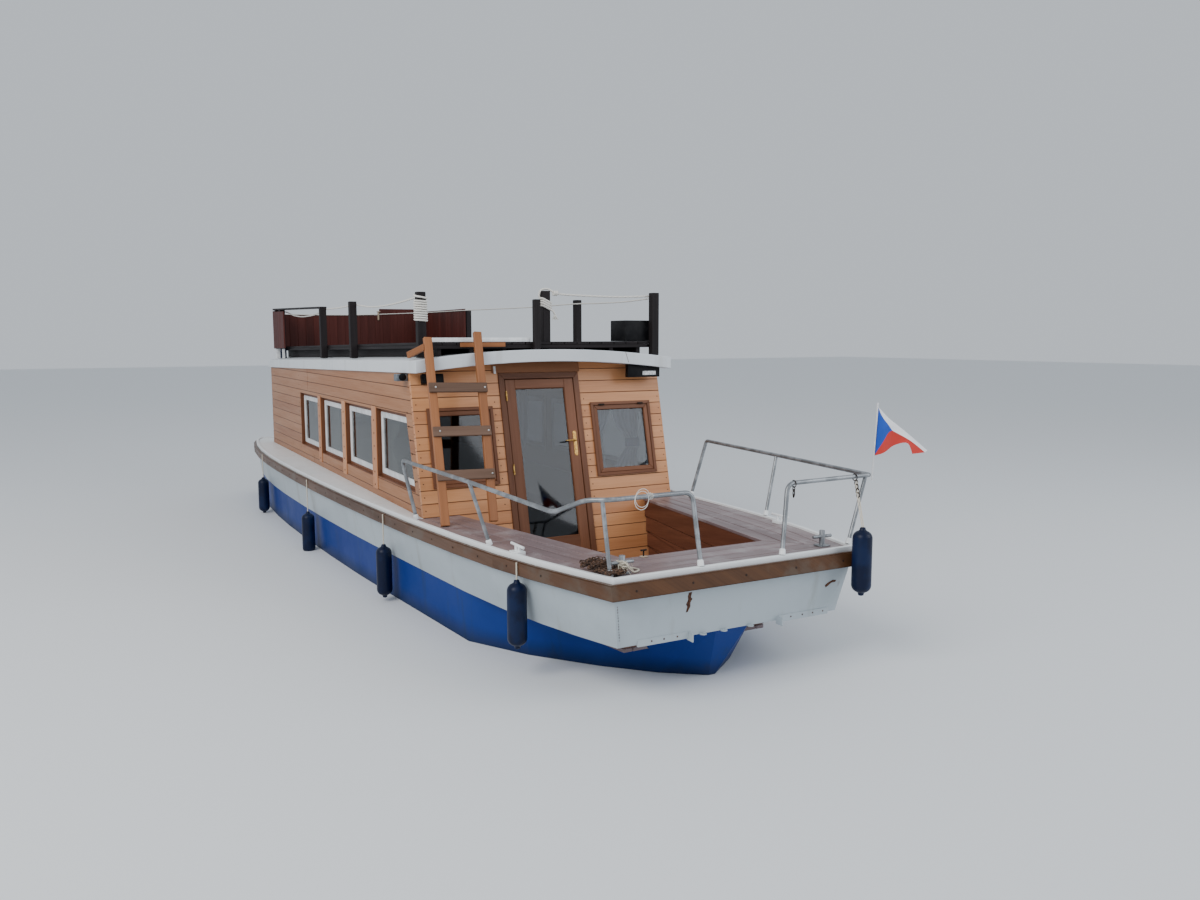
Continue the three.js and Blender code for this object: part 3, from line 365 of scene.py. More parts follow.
def mottled(name, dark, light, rough=(0.3, 0.6), scale=14.0, metallic=0.0, bump=0.1, shine=0.5):
    material, tree, shader = new_material(name)
    weather = place_group(tree, weather_group, {"Scale": scale, "Run": 1.0, "Cut": 0.46})
    surface(tree, shader, {
        "Base Color": blend_color(tree, weather.outputs["Mask"], dark, light),
        "Specular IOR Level": shine, "Metallic": metallic,
        "Roughness": ramp(tree, weather.outputs["Soft"], 0.3, 0.7, *rough)},
        (bump, 0.001, weather.outputs["Soft"]))
    return material


THREADS = 900.0 / 6.283         # a Wave texture's scale counts in turns of a circle


def cloth(name, color):
    material, tree, shader = new_material(name)
    uv = add(tree, "TexCoord").outputs["UV"]
    warp, weft = (add(tree, "TexWave", {"Vector": uv, "Scale": THREADS}, bands_direction=way)
                  for way in "XY")
    weave = calc(tree, "MULTIPLY", warp.outputs["Fac"], weft.outputs["Fac"])
    soft = add(tree, "TexNoise", {"Vector": uv, "Scale": 6.0, "Detail": 3.0})
    tint = blend_color(tree, soft.outputs[0], tuple(0.86 * c for c in color), color)
    surface(tree, shader, {"Base Color": tint, "Roughness": 0.9, "Sheen Weight": 0.3},
            (0.2, 0.0005, weave))
    return material


STRANDS, LAY = 3.0, 0.06        # strands round a rope, and metres for one turn of a strand


def rope_material(name, dark, light):
    material, tree, shader = new_material(name)
    uv = add(tree, "SeparateXYZ", {0: add(tree, "TexCoord").outputs["UV"]})
    turns = calc(tree, "MULTIPLY_ADD", uv.outputs[0], 1.0 / LAY,
                 calc(tree, "MULTIPLY", uv.outputs[1], STRANDS))
    wave = calc(tree, "PINGPONG", turns, 0.5)
    fibre = add(tree, "TexNoise", {"Vector": add(tree, "TexCoord").outputs["Object"],
                                   "Scale": 160.0, "Detail": 2.0})
    # Each strand is drawn light on its crown and dark where it meets the next, which paints the
    # shade in the grooves of the lay.
    tone = calc(tree, "MULTIPLY_ADD", fibre.outputs[0], 0.35, calc(tree, "MULTIPLY", wave, 1.3))
    surface(tree, shader, {"Base Color": blend_color(tree, tone, dark, light), "Roughness": 0.9},
            (0.6, 0.002, wave))
    return material


def glass(name, tint):
    material, tree, shader = new_material(name)
    smear = place_group(tree, weather_group, {"Scale": 2.0, "Run": 0.4, "Cut": 0.5})
    surface(tree, shader, {
        "Base Color": (*tint, 1.0), "Transmission Weight": 1.0, "IOR": 1.45,
        "Roughness": ramp(tree, smear.outputs["Soft"], 0.3, 0.8, 0.02, 0.07)})
    return material


GALVANISED = mottled("galvanised_tube", (0.22, 0.232, 0.245), (0.34, 0.357, 0.375), (0.32, 0.5),
                     9.0, 0.7)
BRASS = mottled("worn_brass", (0.34, 0.18, 0.05), (0.62, 0.4, 0.13), (0.25, 0.5), 40.0, 1.0)
STEEL = mottled("bright_steel", (0.5, 0.5, 0.49), (0.7, 0.7, 0.7), (0.22, 0.4), 50.0, 1.0)
# Near black: on the post screws the heads also paint the shadow of their sunk holes.
SCREW_STEEL = mottled("dull_screws", (0.013, 0.008, 0.006), (0.035, 0.02, 0.014), (0.5, 0.7), 60.0,
                      shine=0.2)
RUSTY = mottled("rusty_chain", (0.05, 0.03, 0.022), (0.16, 0.085, 0.05), (0.6, 0.9), 60.0, 0.3, 0.5)
STREAK = mottled("rust_streak", (0.045, 0.019, 0.012), (0.14, 0.06, 0.032), (0.6, 0.9), 90.0,
                 shine=0.2)
BLACK = mottled("black_plastic", (0.004, 0.004, 0.005), (0.009, 0.009, 0.01), (0.4, 0.6), 20.0,
                shine=0.15)
LAMP_GREY = mottled("lamp_housing", (0.09, 0.105, 0.125), (0.14, 0.16, 0.18), (0.35, 0.55), 30.0)
WHITE_PAINT = mottled("white_fittings", (0.7, 0.72, 0.73), (0.82, 0.83, 0.84), (0.3, 0.45), 12.0)
BLUE_CLOTH = cloth("blue_tieback", (0.03, 0.08, 0.3))
NAVY = mottled("navy_vinyl", (0.002, 0.006, 0.026), (0.004, 0.012, 0.048), (0.3, 0.5), 4.0,
               shine=0.2)
WHITE_PLASTIC = mottled("white_plastic", (0.62, 0.63, 0.64), (0.74, 0.75, 0.76), (0.25, 0.4), 5.0)
SOLE_GREY = mottled("sole_covering", (0.1, 0.1, 0.095), (0.17, 0.17, 0.16), (0.6, 0.8), 10.0)
ROPE = rope_material("cream_rope", (0.42, 0.36, 0.27), (0.78, 0.73, 0.62))
WHITE_ROPE = rope_material("white_rope", (0.5, 0.48, 0.44), (0.85, 0.83, 0.78))
CURTAIN = cloth("white_curtain", (0.78, 0.79, 0.8))
# The panes are tinted dark grey, which paints the shade of the cabin seen through them.
DARK_GLASS = glass("front_glass", (0.1, 0.12, 0.16))
CURTAINED_GLASS = glass("curtained_glass", (0.27, 0.3, 0.35))
SIDE_GLASS = glass("side_glass", (0.25, 0.262, 0.25))
print("materials:", len(bpy.data.materials))

# %% [markdown]
# The floor can be made now that materials have a helper.

# %% Floor
floor_mesh = bpy.data.meshes.new("floor")
half = FLOOR_SIZE / 2
floor_mesh.from_pydata([(-half, -half, 0), (half, -half, 0), (half, half, 0), (-half, half, 0)],
                       [], [(0, 1, 2, 3)])
floor = bpy.data.objects.new("floor", floor_mesh)
floor_material, floor_tree, floor_shader = new_material("pale_floor")
surface(floor_tree, floor_shader, {"Base Color": (0.74, 0.76, 0.78, 1.0), "Roughness": 0.65})
floor_mesh.materials.append(floor_material)
bpy.context.scene.collection.objects.link(floor)

# %% [markdown]
# The boat's own lines, as in the solid model. The half-beam is read from a short table of
# stations, and the deck rises a little to the bow. Everything that follows the gunwale or the
# raked cabin front is placed with these few functions.

# %% The boat's lines
BOW_X, RISE_X, BOW_RISE = 5.6, 2.6, 0.055
DECK_Z, DECK_T, SOLE_Z = 0.875, 0.025, 0.24
STATIONS = ((5.6, 1.05), (5.2, 1.158), (4.8, 1.248), (4.3, 1.336), (3.6, 1.412), (2.7, 1.478),
            (2.6, 1.485), (1.7, 1.556), (0.8, 1.618), (-0.2, 1.67), (-1.2, 1.708), (-2.3, 1.73),
            (-3.1, 1.728), (-3.9, 1.7), (-4.7, 1.632), (-5.2, 1.56), (-5.48, 1.49), (-5.6, 1.4))
CABIN_W, CABIN_AFT, CABIN_FWD, WALL = 1.345, -4.87, 2.573, 0.05
RAKE_SLOPE = 0.2316      # the cabin front leans aft by this much for each metre up
RAKE = math.atan(RAKE_SLOPE)
ROOF_W, ROOF_FWD, ROOF_Z, ROOF_T = 1.37, 2.52, 2.198, 0.117
CAMBER, ROOF_FALL, TRIM_H = 0.091, 0.0187, 0.016
HAIR = 0.0005            # a gap that keeps two faces from lying in one plane
OUT = Vector((math.cos(RAKE), 0.0, math.sin(RAKE)))
UP = Vector((-math.sin(RAKE), 0.0, math.cos(RAKE)))
SIDE = Vector((0.0, 1.0, 0.0))


def beam(x):
    return float(np.interp(-x, [-a for a, _ in STATIONS], [b for _, b in STATIONS]))


def deck_z(x):
    return DECK_Z + BOW_RISE * max(0.0, (x - RISE_X) / (BOW_X - RISE_X))


def roof_drop(x):
    return ROOF_FALL * (x - ROOF_FWD)


def roof_under(x, y):
    return ROOF_Z + CAMBER * (1 - (y / ROOF_W) ** 2) + roof_drop(x)


def on_front(d, y, z):
    """The place at a height on the leaning cabin front, d out from its face."""
    up = (z - DECK_Z) / math.cos(RAKE)
    return Vector((CABIN_FWD, y, DECK_Z)) + OUT * d + UP * up


# %% [markdown]
# Most of the boat is boards. A board is a flat outline with a thickness, its edges slightly
# broken, as every sawn and sanded board has. `Boards` collects many of them in one mesh and gives
# each its own grain map and number, so that one material makes them all look different.

# %% Boards


class Boards:
    def __init__(self, seed):
        self.points, self.faces, self.maps, self.numbers = [], [], [], []
        self.chance = random.Random(seed)

    def prism(self, outline, thickness, along, edge=0.003):
        """A board from an outline of 3-D points, thickened by a vector; along is its grain."""
        work = bmesh.new()
        low = [work.verts.new(Vector(p)) for p in outline]
        work.faces.new(low)
        high = [work.verts.new(Vector(p) + Vector(thickness)) for p in outline]
        work.faces.new(high[::-1])
        for i, a in enumerate(low):
            j = (i + 1) % len(low)
            work.faces.new((a, high[i], high[j], low[j]))
        bmesh.ops.recalc_face_normals(work, faces=work.faces)
        if edge:
            bmesh.ops.bevel(work, geom=list(work.edges), offset=edge, segments=1,
                            affect="EDGES", clamp_overlap=True)
        along = Vector(along).normalized()
        depth = Vector(thickness).normalized()
        self.take(work, along, along.cross(depth).normalized() + depth, self.chance.random())

    def take(self, work, along, wide, number):
        """Keeps a shaped board; along and wide are the directions of its map."""
        start = len(self.points)
        work.verts.index_update()
        self.points += [v.co.copy() for v in work.verts]
        for face in work.faces:
            self.faces.append([start + v.index for v in face.verts])
            self.maps += [(v.co.dot(along), v.co.dot(wide)) for v in face.verts]
            self.numbers.append(number)
        work.free()

    def board(self, a, b, width, thick, across, edge=0.003):
        """A straight board from a to b, centred on that line."""
        a, b = Vector(a), Vector(b)
        along = (b - a).normalized()
        wide = Vector(across)
        wide = (wide - along * wide.dot(along)).normalized() * (width / 2)
        deep = along.cross(wide).normalized() * thick
        outline = [p + s * wide - deep / 2 for p, s in ((a, -1), (b, -1), (b, 1), (a, 1))]
        self.prism(outline, deep, along, edge)

    def box(self, low, high, along=(1, 0, 0), edge=0.003):
        (x0, y0, z0), (x1, y1, z1) = low, high
        outline = [(x0, y0, z0), (x1, y0, z0), (x1, y1, z0), (x0, y1, z0)]
        if Vector(along).z:
            outline = [(x0, y0, z0), (x0, y1, z0), (x0, y1, z1), (x0, y0, z1)]
            self.prism(outline, (x1 - x0, 0, 0), along, edge)
        else:
            self.prism(outline, (0, 0, z1 - z0), along, edge)

    def ring(self, outer, inner, thickness, edge=0.002):
        """Four mitred boards between an outer and an inner outline of four corners."""
        for i in range(4):
            j = (i + 1) % 4
            self.prism([outer[i], outer[j], inner[j], inner[i]], thickness,
                       Vector(outer[j]) - Vector(outer[i]), edge)

    def finish(self, name, material, body="hull", replaces=(), slot=None):
        mesh = new_mesh(name, self.points, self.faces, self.maps)
        number = mesh.attributes.new("board", "FLOAT", "FACE")
        number.data.foreach_set("value", self.numbers)
        return settle(name, mesh, material, body, replaces, slot)


def new_mesh(name, points, faces, maps=()):
    """A mesh; maps has one map point for each corner of each face."""
    mesh = bpy.data.meshes.new(name)
    mesh.from_pydata(points, [], faces)
    if maps:
        layer = mesh.uv_layers.new(name="UVMap")
        layer.data.foreach_set("uv", [c for uv in maps for c in uv])
    return mesh


def shade(piece, angle):
    """Smooth shading, except over edges sharper than angle degrees."""
    with bpy.context.temp_override(object=piece, active_object=piece, selected_objects=[piece],
                                   selected_editable_objects=[piece]):
        bpy.ops.object.shade_smooth_by_angle(angle=math.radians(angle))


def applied(piece):
    """The piece with its modifiers baked in."""
    graph = bpy.context.evaluated_depsgraph_get()
    graph.update()
    mesh = bpy.data.meshes.new_from_object(piece.evaluated_get(graph))
    piece.modifiers.clear()
    piece.data = mesh
    return piece


def settle(name, mesh, material, body="hull", replaces=(), slot=None, thickness=0.0, angle=0):
    """Links a finished mesh and gives it its material, thickness, shading and body."""
    piece = bpy.data.objects.new(name, mesh)
    mesh.materials.append(material)
    bpy.context.scene.collection.objects.link(piece)
    if thickness:
        piece.modifiers.new("thickness", "SOLIDIFY").thickness = thickness
        applied(piece)
    if angle:
        shade(piece, angle)
    if replaces:
        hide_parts(*replaces)
    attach(piece, body)
    return piece


# %% [markdown]
# Parts of the solid model with the right shape keep it. A copy has its loose triangles merged and
# its flat faces joined, then gets a small bevel, because no real edge is perfectly sharp and the
# highlight along it is what makes it look solid. Shading is smooth except over real corners.

# %% Dressing a solid


def body_of_node(name):
    return next(b for b, nodes in frame["record"]["behaviour"]["bodies"].items() if name in nodes)


def dress(node, material, edge, angle):
    """A copy of a solid, merged, with its edges softened; angle is the sharpest smooth one."""
    work = bmesh.new()
    work.from_mesh(frame["nodes"][node].data)
    bmesh.ops.remove_doubles(work, verts=work.verts, dist=2e-5)
    bmesh.ops.dissolve_limit(work, angle_limit=math.radians(0.3), verts=work.verts,
                             edges=work.edges)
    mesh = bpy.data.meshes.new(node + "_dressed")
    work.to_mesh(mesh)
    work.free()
    piece = bpy.data.objects.new(node + "_dressed", mesh)
    mesh.materials.clear()
    mesh.materials.append(material)
    bpy.context.scene.collection.objects.link(piece)
    if edge:
        bevel = piece.modifiers.new("edge", "BEVEL")
        bevel.width = edge
        bevel.segments = 2
        bevel.angle_limit = math.radians(30)
        applied(piece)
    shade(piece, angle)
    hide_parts(node)
    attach(piece, body_of_node(node))
    return piece


def paint_node(node, material):
    mesh = frame["nodes"][node].data
    mesh.materials.clear()
    mesh.materials.append(material)


# %% [markdown]
# The hull is welded plate. The solid's sides already have the right sweep, so they are dressed:
# merging lets the shading run smoothly along the side instead of stopping at every station.

# %% Hull
dress("hull_topsides", WHITE_HULL, 0.003, 25)
dress("hull_bottom", BLUE_PAINT, 0.0, 25)
dress("deck_edge_trim", WHITE_DECK, 0.003, 25)
dress("white_deck", WHITE_DECK, 0.003, 25)
for side in ("port", "starboard"):
    dress(f"cleat_{side}", WHITE_DECK, 0.003, 45)
    dress(f"bitt_{side}", GALVANISED, 0.002, 45)

# %% [markdown]
# The rub rail is a run of varnished timbers with their ends butted. Straight boards between the
# hull's stations follow the curve as the real ones do, and each gets its own grain.

# %% Rub rail
RUB_T, RUB_FOOT_T, RUB_H, RUB_TOP, RUB_GAP, RUB_ROUND = 0.04, 0.054, 0.11, 0.02, 0.002, 0.008
SPANS_A_BOARD = 3
HULL_LOW, FLARE, BOW_FLARE = 0.43, 0.062, 0.024


def hull_side(x, z):
    flare = FLARE + BOW_FLARE * max(0.0, (x - RISE_X) / (BOW_X - RISE_X))
    top = deck_z(x) - DECK_T
    return beam(x) - flare * (top - z) / (top - HULL_LOW)


def rub_section(x, side):
    """Corners of the rail's section at a station, from the hull side outwards."""
    top = deck_z(x) - RUB_TOP
    low = top - RUB_H
    end = math.copysign(1.0, x) if abs(x) == BOW_X else 0.0
    rows = ((top, RUB_GAP), (top, RUB_T), (low, RUB_FOOT_T), (low, RUB_GAP))
    return [Vector((x + end * out, side * (hull_side(x, z) + out), z)) for z, out in rows]


def span(boards, first, last, along, number):
    """A board between two sections of four corners, rounded along its length."""
    faces = [(0, 1, 5, 4), (1, 2, 6, 5), (2, 3, 7, 6), (3, 0, 4, 7), (3, 2, 1, 0), (4, 5, 6, 7)]
    along = Vector(along).normalized()
    work = bmesh.new()
    corners = [work.verts.new(p) for p in (*first, *last)]
    for face in faces:
        work.faces.new([corners[i] for i in face])
    bmesh.ops.recalc_face_normals(work, faces=work.faces)
    long_edges = [e for e in work.edges
                  if abs((e.verts[0].co - e.verts[1].co).normalized().dot(along)) > 0.9]
    bmesh.ops.bevel(work, geom=long_edges, offset=RUB_ROUND, segments=2, affect="EDGES",
                    clamp_overlap=True)
    boards.take(work, along, Vector((0, 0.7, 1)), number)


rub = Boards(3)
for side in (-1, 1):
    xs = [x for x, _ in STATIONS]
    for i, (x0, x1) in enumerate(zip(xs, xs[1:])):
        if i % SPANS_A_BOARD == 0:
            number = rub.chance.random()
        a, b = rub_section(x0, side), rub_section(x1, side)
        span(rub, a, b, b[1] - a[1], number)
for x in (BOW_X, -BOW_X):
    span(rub, rub_section(x, -1), rub_section(x, 1), (0, 1, 0), rub.chance.random())
rub.finish("rub_rail_timbers", RUB_WOOD, replaces=["rub_rail"], slot="varnished_wood")

# %% [markdown]
# The cockpit's bench is a deck of dark boards that runs round the well, four wide, with mitred
# corners at the bow. Each board's outline is worked out between two lines that fan from the well's
# edge to the gunwale, with a dark gap between neighbours.

# %% Bench boards
WELL_FWD, WELL_FWD_W, WELL_SPREAD = 5.02, 0.63, 0.153
BENCH_X, BENCH_END, TRIM = 2.584, 5.5645, 0.0355
BOARDS_WIDE, SEAM, MITRE = 4, 0.0035, 0.006


def mix(a, b, t):
    """The number a fraction t of the way from a to b."""
    return a + (b - a) * t


def well_w(x):
    """Half the well's width at a place along the boat."""
    return WELL_FWD_W + WELL_SPREAD * (WELL_FWD - x)


def bench_y(x, f):
    """A line along the bench, a fraction of its width out from the well."""
    return mix(well_w(x), beam(x) - TRIM, f)


def bench_corner(f, d):
    """Where that line turns at the bow, moved out by d."""
    return mix(WELL_FWD, BENCH_END, f) + d, mix(WELL_FWD_W, beam(BENCH_END) - TRIM, f) + d


bench = Boards(5)
xs = [BENCH_X, 2.7, 3.6, 4.3, 4.8]
for k in range(BOARDS_WIDE):
    f0, f1 = k / BOARDS_WIDE, (k + 1) / BOARDS_WIDE
    d0, d1 = (0.0 if k == 0 else SEAM), (0.0 if k == BOARDS_WIDE - 1 else -SEAM)
    inner, outer = bench_corner(f0, d0), bench_corner(f1, d1)
    for side in (-1, 1):
        row = [(x, bench_y(x, f0) + d0) for x in xs] + [(inner[0] - MITRE, inner[1])]
        row += [(outer[0] - MITRE, outer[1])] + [(x, bench_y(x, f1) + d1) for x in reversed(xs)]
        outline = [(x, side * y, deck_z(x) - DECK_T) for x, y in row]
        bench.prism(outline, (0, 0, DECK_T), (1, side * -0.1, 0.02))
    corners = [(inner[0], inner[1] - MITRE), (outer[0], outer[1] - MITRE),
               (outer[0], MITRE - outer[1]), (inner[0], MITRE - inner[1])]
    bench.prism([(x, y, deck_z(x) - DECK_T) for x, y in corners], (0, 0, DECK_T), (0, 1, 0))
bench.finish("bench_boards", BENCH_WOOD, replaces=["cockpit_bench"], slot="bench_wood")

# %% [markdown]
# Below it the well is lined with four courses of reddish planks, and its floor is boarded. The
# well narrows to the bow, so the outer floor boards are cut to its sides.

# %% Cockpit lining and floor
LINING_T, COURSE, COURSES, LINING_LOW, COURSE_GAP = 0.0195, 0.15, 4, 0.245, 0.003
lining = Boards(7)


def lining_top(x, course):
    under_bench = deck_z(x) - DECK_T - HAIR
    next_course = LINING_LOW + (course + 1) * COURSE - COURSE_GAP
    return under_bench if course == COURSES - 1 else next_course


for k in range(COURSES):
    z0 = LINING_LOW + k * COURSE + COURSE_GAP
    start = on_front(0.004, 0, z0).x
    for side in (-1, 1):
        outline = [(x, side * well_w(x), z) for x, z in
                   ((start, z0), (WELL_FWD, z0), (WELL_FWD, lining_top(WELL_FWD, k)),
                    (RISE_X, lining_top(RISE_X, k)), (start, lining_top(start, k)))]
        lining.prism(outline, (0, side * LINING_T, 0), (1, 0, 0))
    y = WELL_FWD_W + 0.015
    z1 = lining_top(WELL_FWD, k)
    lining.prism([(WELL_FWD, -y, z0), (WELL_FWD, y, z0), (WELL_FWD, y, z1), (WELL_FWD, -y, z1)],
                 (LINING_T, 0, 0), (0, 1, 0))
lining.finish("lining_planks", LINING_WOOD, replaces=["cockpit_lining"], slot="lining_wood")
sole = Boards(8)
SOLE_BOARDS, SOLE_BOARD_T, TUCK = 14, 0.029, 0.015      # the floor tucks in under the lining
sole_start = on_front(0.016, 0, SOLE_Z).x
sole_wide = well_w(sole_start) + TUCK


def sole_end(y):
    return WELL_FWD + TUCK - max(0.0, (abs(y) - TUCK - WELL_FWD_W) / WELL_SPREAD)


for i in range(SOLE_BOARDS):
    a, b = ((2 * k / SOLE_BOARDS - 1) * sole_wide for k in (i, i + 1))
    corners = [c for c in (-WELL_FWD_W - TUCK, WELL_FWD_W + TUCK) if a < c < b]
    ends = [(sole_end(y), y) for y in (a + 0.002, *corners, b - 0.002)]
    outline = [(sole_start, ends[0][1])] + ends + [(sole_start, ends[-1][1])]
    sole.prism([(x, y, SOLE_Z - SOLE_BOARD_T) for x, y in outline], (0, 0, SOLE_BOARD_T), (1, 0, 0))
sole.finish("cockpit_floor_boards", BENCH_WOOD, replaces=["cockpit_sole"], slot="bench_wood")
paint_node("cabin_sole", SOLE_GREY)

# %% [markdown]
# The cabin walls are shiplap planks. Their grooves are in the solid, so only the material works
# here: it finds each plank from the height up the wall, and paints a shadow line along each
# groove. The front wall leans back, so its height is measured along its own slope.

# %% Cabin walls
PLANK_COLORS = ((0.43, 0.165, 0.062), (0.66, 0.31, 0.135))
# The side and aft walls get the same planks in darker colours.
DARKER_WALL_COLORS = ((0.265, 0.098, 0.034), (0.4, 0.178, 0.07))
# Where the first plank starts: up the slope from the deck line, and on the upright walls
FIRST_UP = (SOLE_Z + 0.03 - DECK_Z) / math.cos(RAKE)
SIDE_START = DECK_Z + 0.07
up_start = Vector((CABIN_FWD, 0, DECK_Z)).dot(UP) + FIRST_UP
FRONT_PLANKS = wall_planks("front_planks", (0, 1, 0), UP, up_start, *PLANK_COLORS)
SIDE_PLANKS = wall_planks("side_planks", (1, 0, 0), (0, 0, 1), SIDE_START, *DARKER_WALL_COLORS)
AFT_PLANKS = wall_planks("aft_planks", (0, 1, 0), (0, 0, 1), SIDE_START, *DARKER_WALL_COLORS)
paint_node("cabin_front", FRONT_PLANKS)
paint_node("cabin_starboard", SIDE_PLANKS)
paint_node("cabin_port", SIDE_PLANKS)
paint_node("cabin_aft", AFT_PLANKS)
dress("roof", ROOF_WHITE, 0.006, 25)

# %% [markdown]
# Screws, bolts and rivets repeat hundreds of times, so Geometry Nodes place them. The input is a
# mesh of loose points with an `aim` vector each; the tree puts one low-polygon head on every
# point, turns it to its aim, then makes the copies real and sets the material.

# %% Fasteners with Geometry Nodes


def geometry_tree(name, inputs):
    return new_tree(name, "GeometryNodeTree", [("Geometry", "Geometry", None)] + inputs,
                    [("Geometry", "Geometry")])


def end_tree(tree, copies, group_in, group_out):
    """The end that every tree here has: the copies made real, in the material that is asked for."""
    real = make(tree, "GeometryNodeRealizeInstances", {0: copies.outputs[0]})
    colored = make(tree, "GeometryNodeSetMaterial", {
        0: real.outputs[0], "Material": group_in.outputs["Material"]})
    tree.links.new(colored.outputs[0], group_out.inputs[0])


fastener_tree, fi, fo = geometry_tree("fasteners", [
    ("Radius", "Float", 0.006), ("Height", "Float", 0.003), ("Material", "Material", None)])
head = make(fastener_tree, "GeometryNodeMeshUVSphere", {
    "Segments": 8, "Rings": 5, "Radius": fi.outputs["Radius"]})
flat_scale = make(fastener_tree, "ShaderNodeMath", {
    0: fi.outputs["Height"], 1: fi.outputs["Radius"]}, operation="DIVIDE")
flat_vector = make(fastener_tree, "ShaderNodeCombineXYZ", {
    "X": 1.0, "Y": 1.0, "Z": flat_scale.outputs[0]})
flat_head = make(fastener_tree, "GeometryNodeTransform", {
    "Geometry": head.outputs["Mesh"], "Scale": flat_vector.outputs[0]})
aim = make(fastener_tree, "GeometryNodeInputNamedAttribute", {"Name": "aim"},
           data_type="FLOAT_VECTOR")
turned = make(fastener_tree, "FunctionNodeAlignRotationToVector", {
    "Vector": aim.outputs["Attribute"]}, axis="Z")
copies = make(fastener_tree, "GeometryNodeInstanceOnPoints", {
    "Points": fi.outputs["Geometry"], "Instance": flat_head.outputs[0],
    "Rotation": turned.outputs[0]})
end_tree(fastener_tree, copies, fi, fo)


def run_tree(name, tree, points, label, vectors, inputs):
    """Points with a vector each, through a tree, to a plain mesh that rides on the hull."""
    mesh = new_mesh(name, points, [])
    layer = mesh.attributes.new(label, "FLOAT_VECTOR", "POINT")
    layer.data.foreach_set("vector", [c for v in vectors for c in v])
    piece = bpy.data.objects.new(name, mesh)
    bpy.context.scene.collection.objects.link(piece)
    modifier = piece.modifiers.new("nodes", "NODES")
    modifier.node_group = tree
    sockets = {s.name: s.identifier for s in tree.interface.items_tree if s.in_out == "INPUT"}
    for key, value in inputs.items():
        modifier[sockets[key]] = value
    applied(piece)
    shade(piece, 60)
    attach(piece, "hull")


def fasteners(name, spots, radius, height, material):
    """A head at each spot, which is a place and the way that the head looks."""
    run_tree(name, fastener_tree, [place for place, _ in spots], "aim", [way for _, way in spots],
             {"Radius": radius, "Height": height, "Material": material})
    print(name, len(spots), "heads")


# %% Plank screws and rail bolts
FRONT_WINDOWS = {"starboard": (-1.222, -0.562), "port": (0.503, 1.201)}
FRONT_SILL, FRONT_HEAD = 1.127, 1.862
DOOR_Y, DOOR_TOP = (-0.47, 0.4), 2.175
FRONT_ROWS, SIDE_ROWS, POST_ROWS, RUB_BOLTS = 9, 11, 6, 26
POST_COVER = 0.006      # how far the upright boards between the windows stand out
RUB_MIDDLE = RUB_TOP + RUB_H / 2
RUB_FACE = RUB_T + 0.0075


def on_side(side, x, z, out=0.0):
    """A spot on the cabin's side."""
    return Vector((x, side * (CABIN_W + out + HAIR), z)), Vector((0, side, 0))


screws, post_screws, rub_bolts = [], [], []
for k in range(FRONT_ROWS):
    z = DECK_Z + (FIRST_UP + (k + 5.5) * PLANK) * math.cos(RAKE)
    for y in (-1.315, -0.53, 0.44, 1.315):
        if not (any(a < y < b for a, b in FRONT_WINDOWS.values()) and FRONT_SILL < z < FRONT_HEAD):
            screws.append((on_front(HAIR, y, z), OUT))
for side in (-1, 1):
    for k in range(SIDE_ROWS):
        z = SIDE_START + (k + 0.5) * PLANK
        for x in (-4.84, -2.78, CABIN_FWD - RAKE_SLOPE * (z - DECK_Z) - 0.035):
            if z < roof_under(x, side * CABIN_W) - 0.05:
                screws.append(on_side(side, x, z))
    for k in range(POST_ROWS):
        z = 1.182 + 0.127 * k
        post_screws.append(on_side(side, 2.158 + 0.334 * (1.819 - z), z))
        post_screws += [on_side(side, x, 0.982 + 0.136 * k, POST_COVER)
                        for x in (-1.544, -0.285, 1.008)]
    for k in range(RUB_BOLTS):
        x = 5.35 - k * 0.43
        z = deck_z(x) - RUB_MIDDLE
        rub_bolts.append((Vector((x, side * (hull_side(x, z) + RUB_FACE), z)),
                          Vector((0, side, 0.06))))
rub_bolts += [(Vector((BOW_X + RUB_FACE, y, deck_z(BOW_X) - RUB_MIDDLE)), Vector((1, 0, 0.06)))
              for y in (-0.9, -0.45, 0.0, 0.45, 0.9)]
fasteners("plank_screws", screws, 0.0062, 0.0015, SCREW_STEEL)
# The post screws are drawn wide and near black, so that each head also paints the shadow in its
# sunk hole.
fasteners("post_screws", post_screws, 0.0095, 0.004, SCREW_STEEL)
fasteners("rub_rail_bolts", rub_bolts, 0.009, 0.003, SCREW_STEEL)

# %% [markdown]
# The door is joinery: two stiles, a head rail and a deep foot rail round one tall pane, in a frame
# that stands a little proud of the planks. It turns on the starboard edge, so all that belongs to
# the leaf rides on the body `door`.

# %% Cabin door
JAMB, LEAF_FACE, FRAME_FACE, LEAF_T, DOOR_GAP, BEAD = 0.06, 0.006, 0.014, 0.045, 0.006, 0.006
PANE = (-0.302, 0.232, 0.578, 2.022)
LEAF = (DOOR_Y[0] + JAMB + DOOR_GAP, DOOR_Y[1] - JAMB - DOOR_GAP, SOLE_Z + 0.044,
        DOOR_TOP - JAMB - DOOR_GAP)


def front_rect(rect, d):
    """Corners of a rectangle (from y, to y, from z, to z) on the front, d out from its face."""
    y0, y1, z0, z1 = rect
    return [on_front(d, y, z) for y, z in ((y0, z0), (y1, z0), (y1, z1), (y0, z1))]


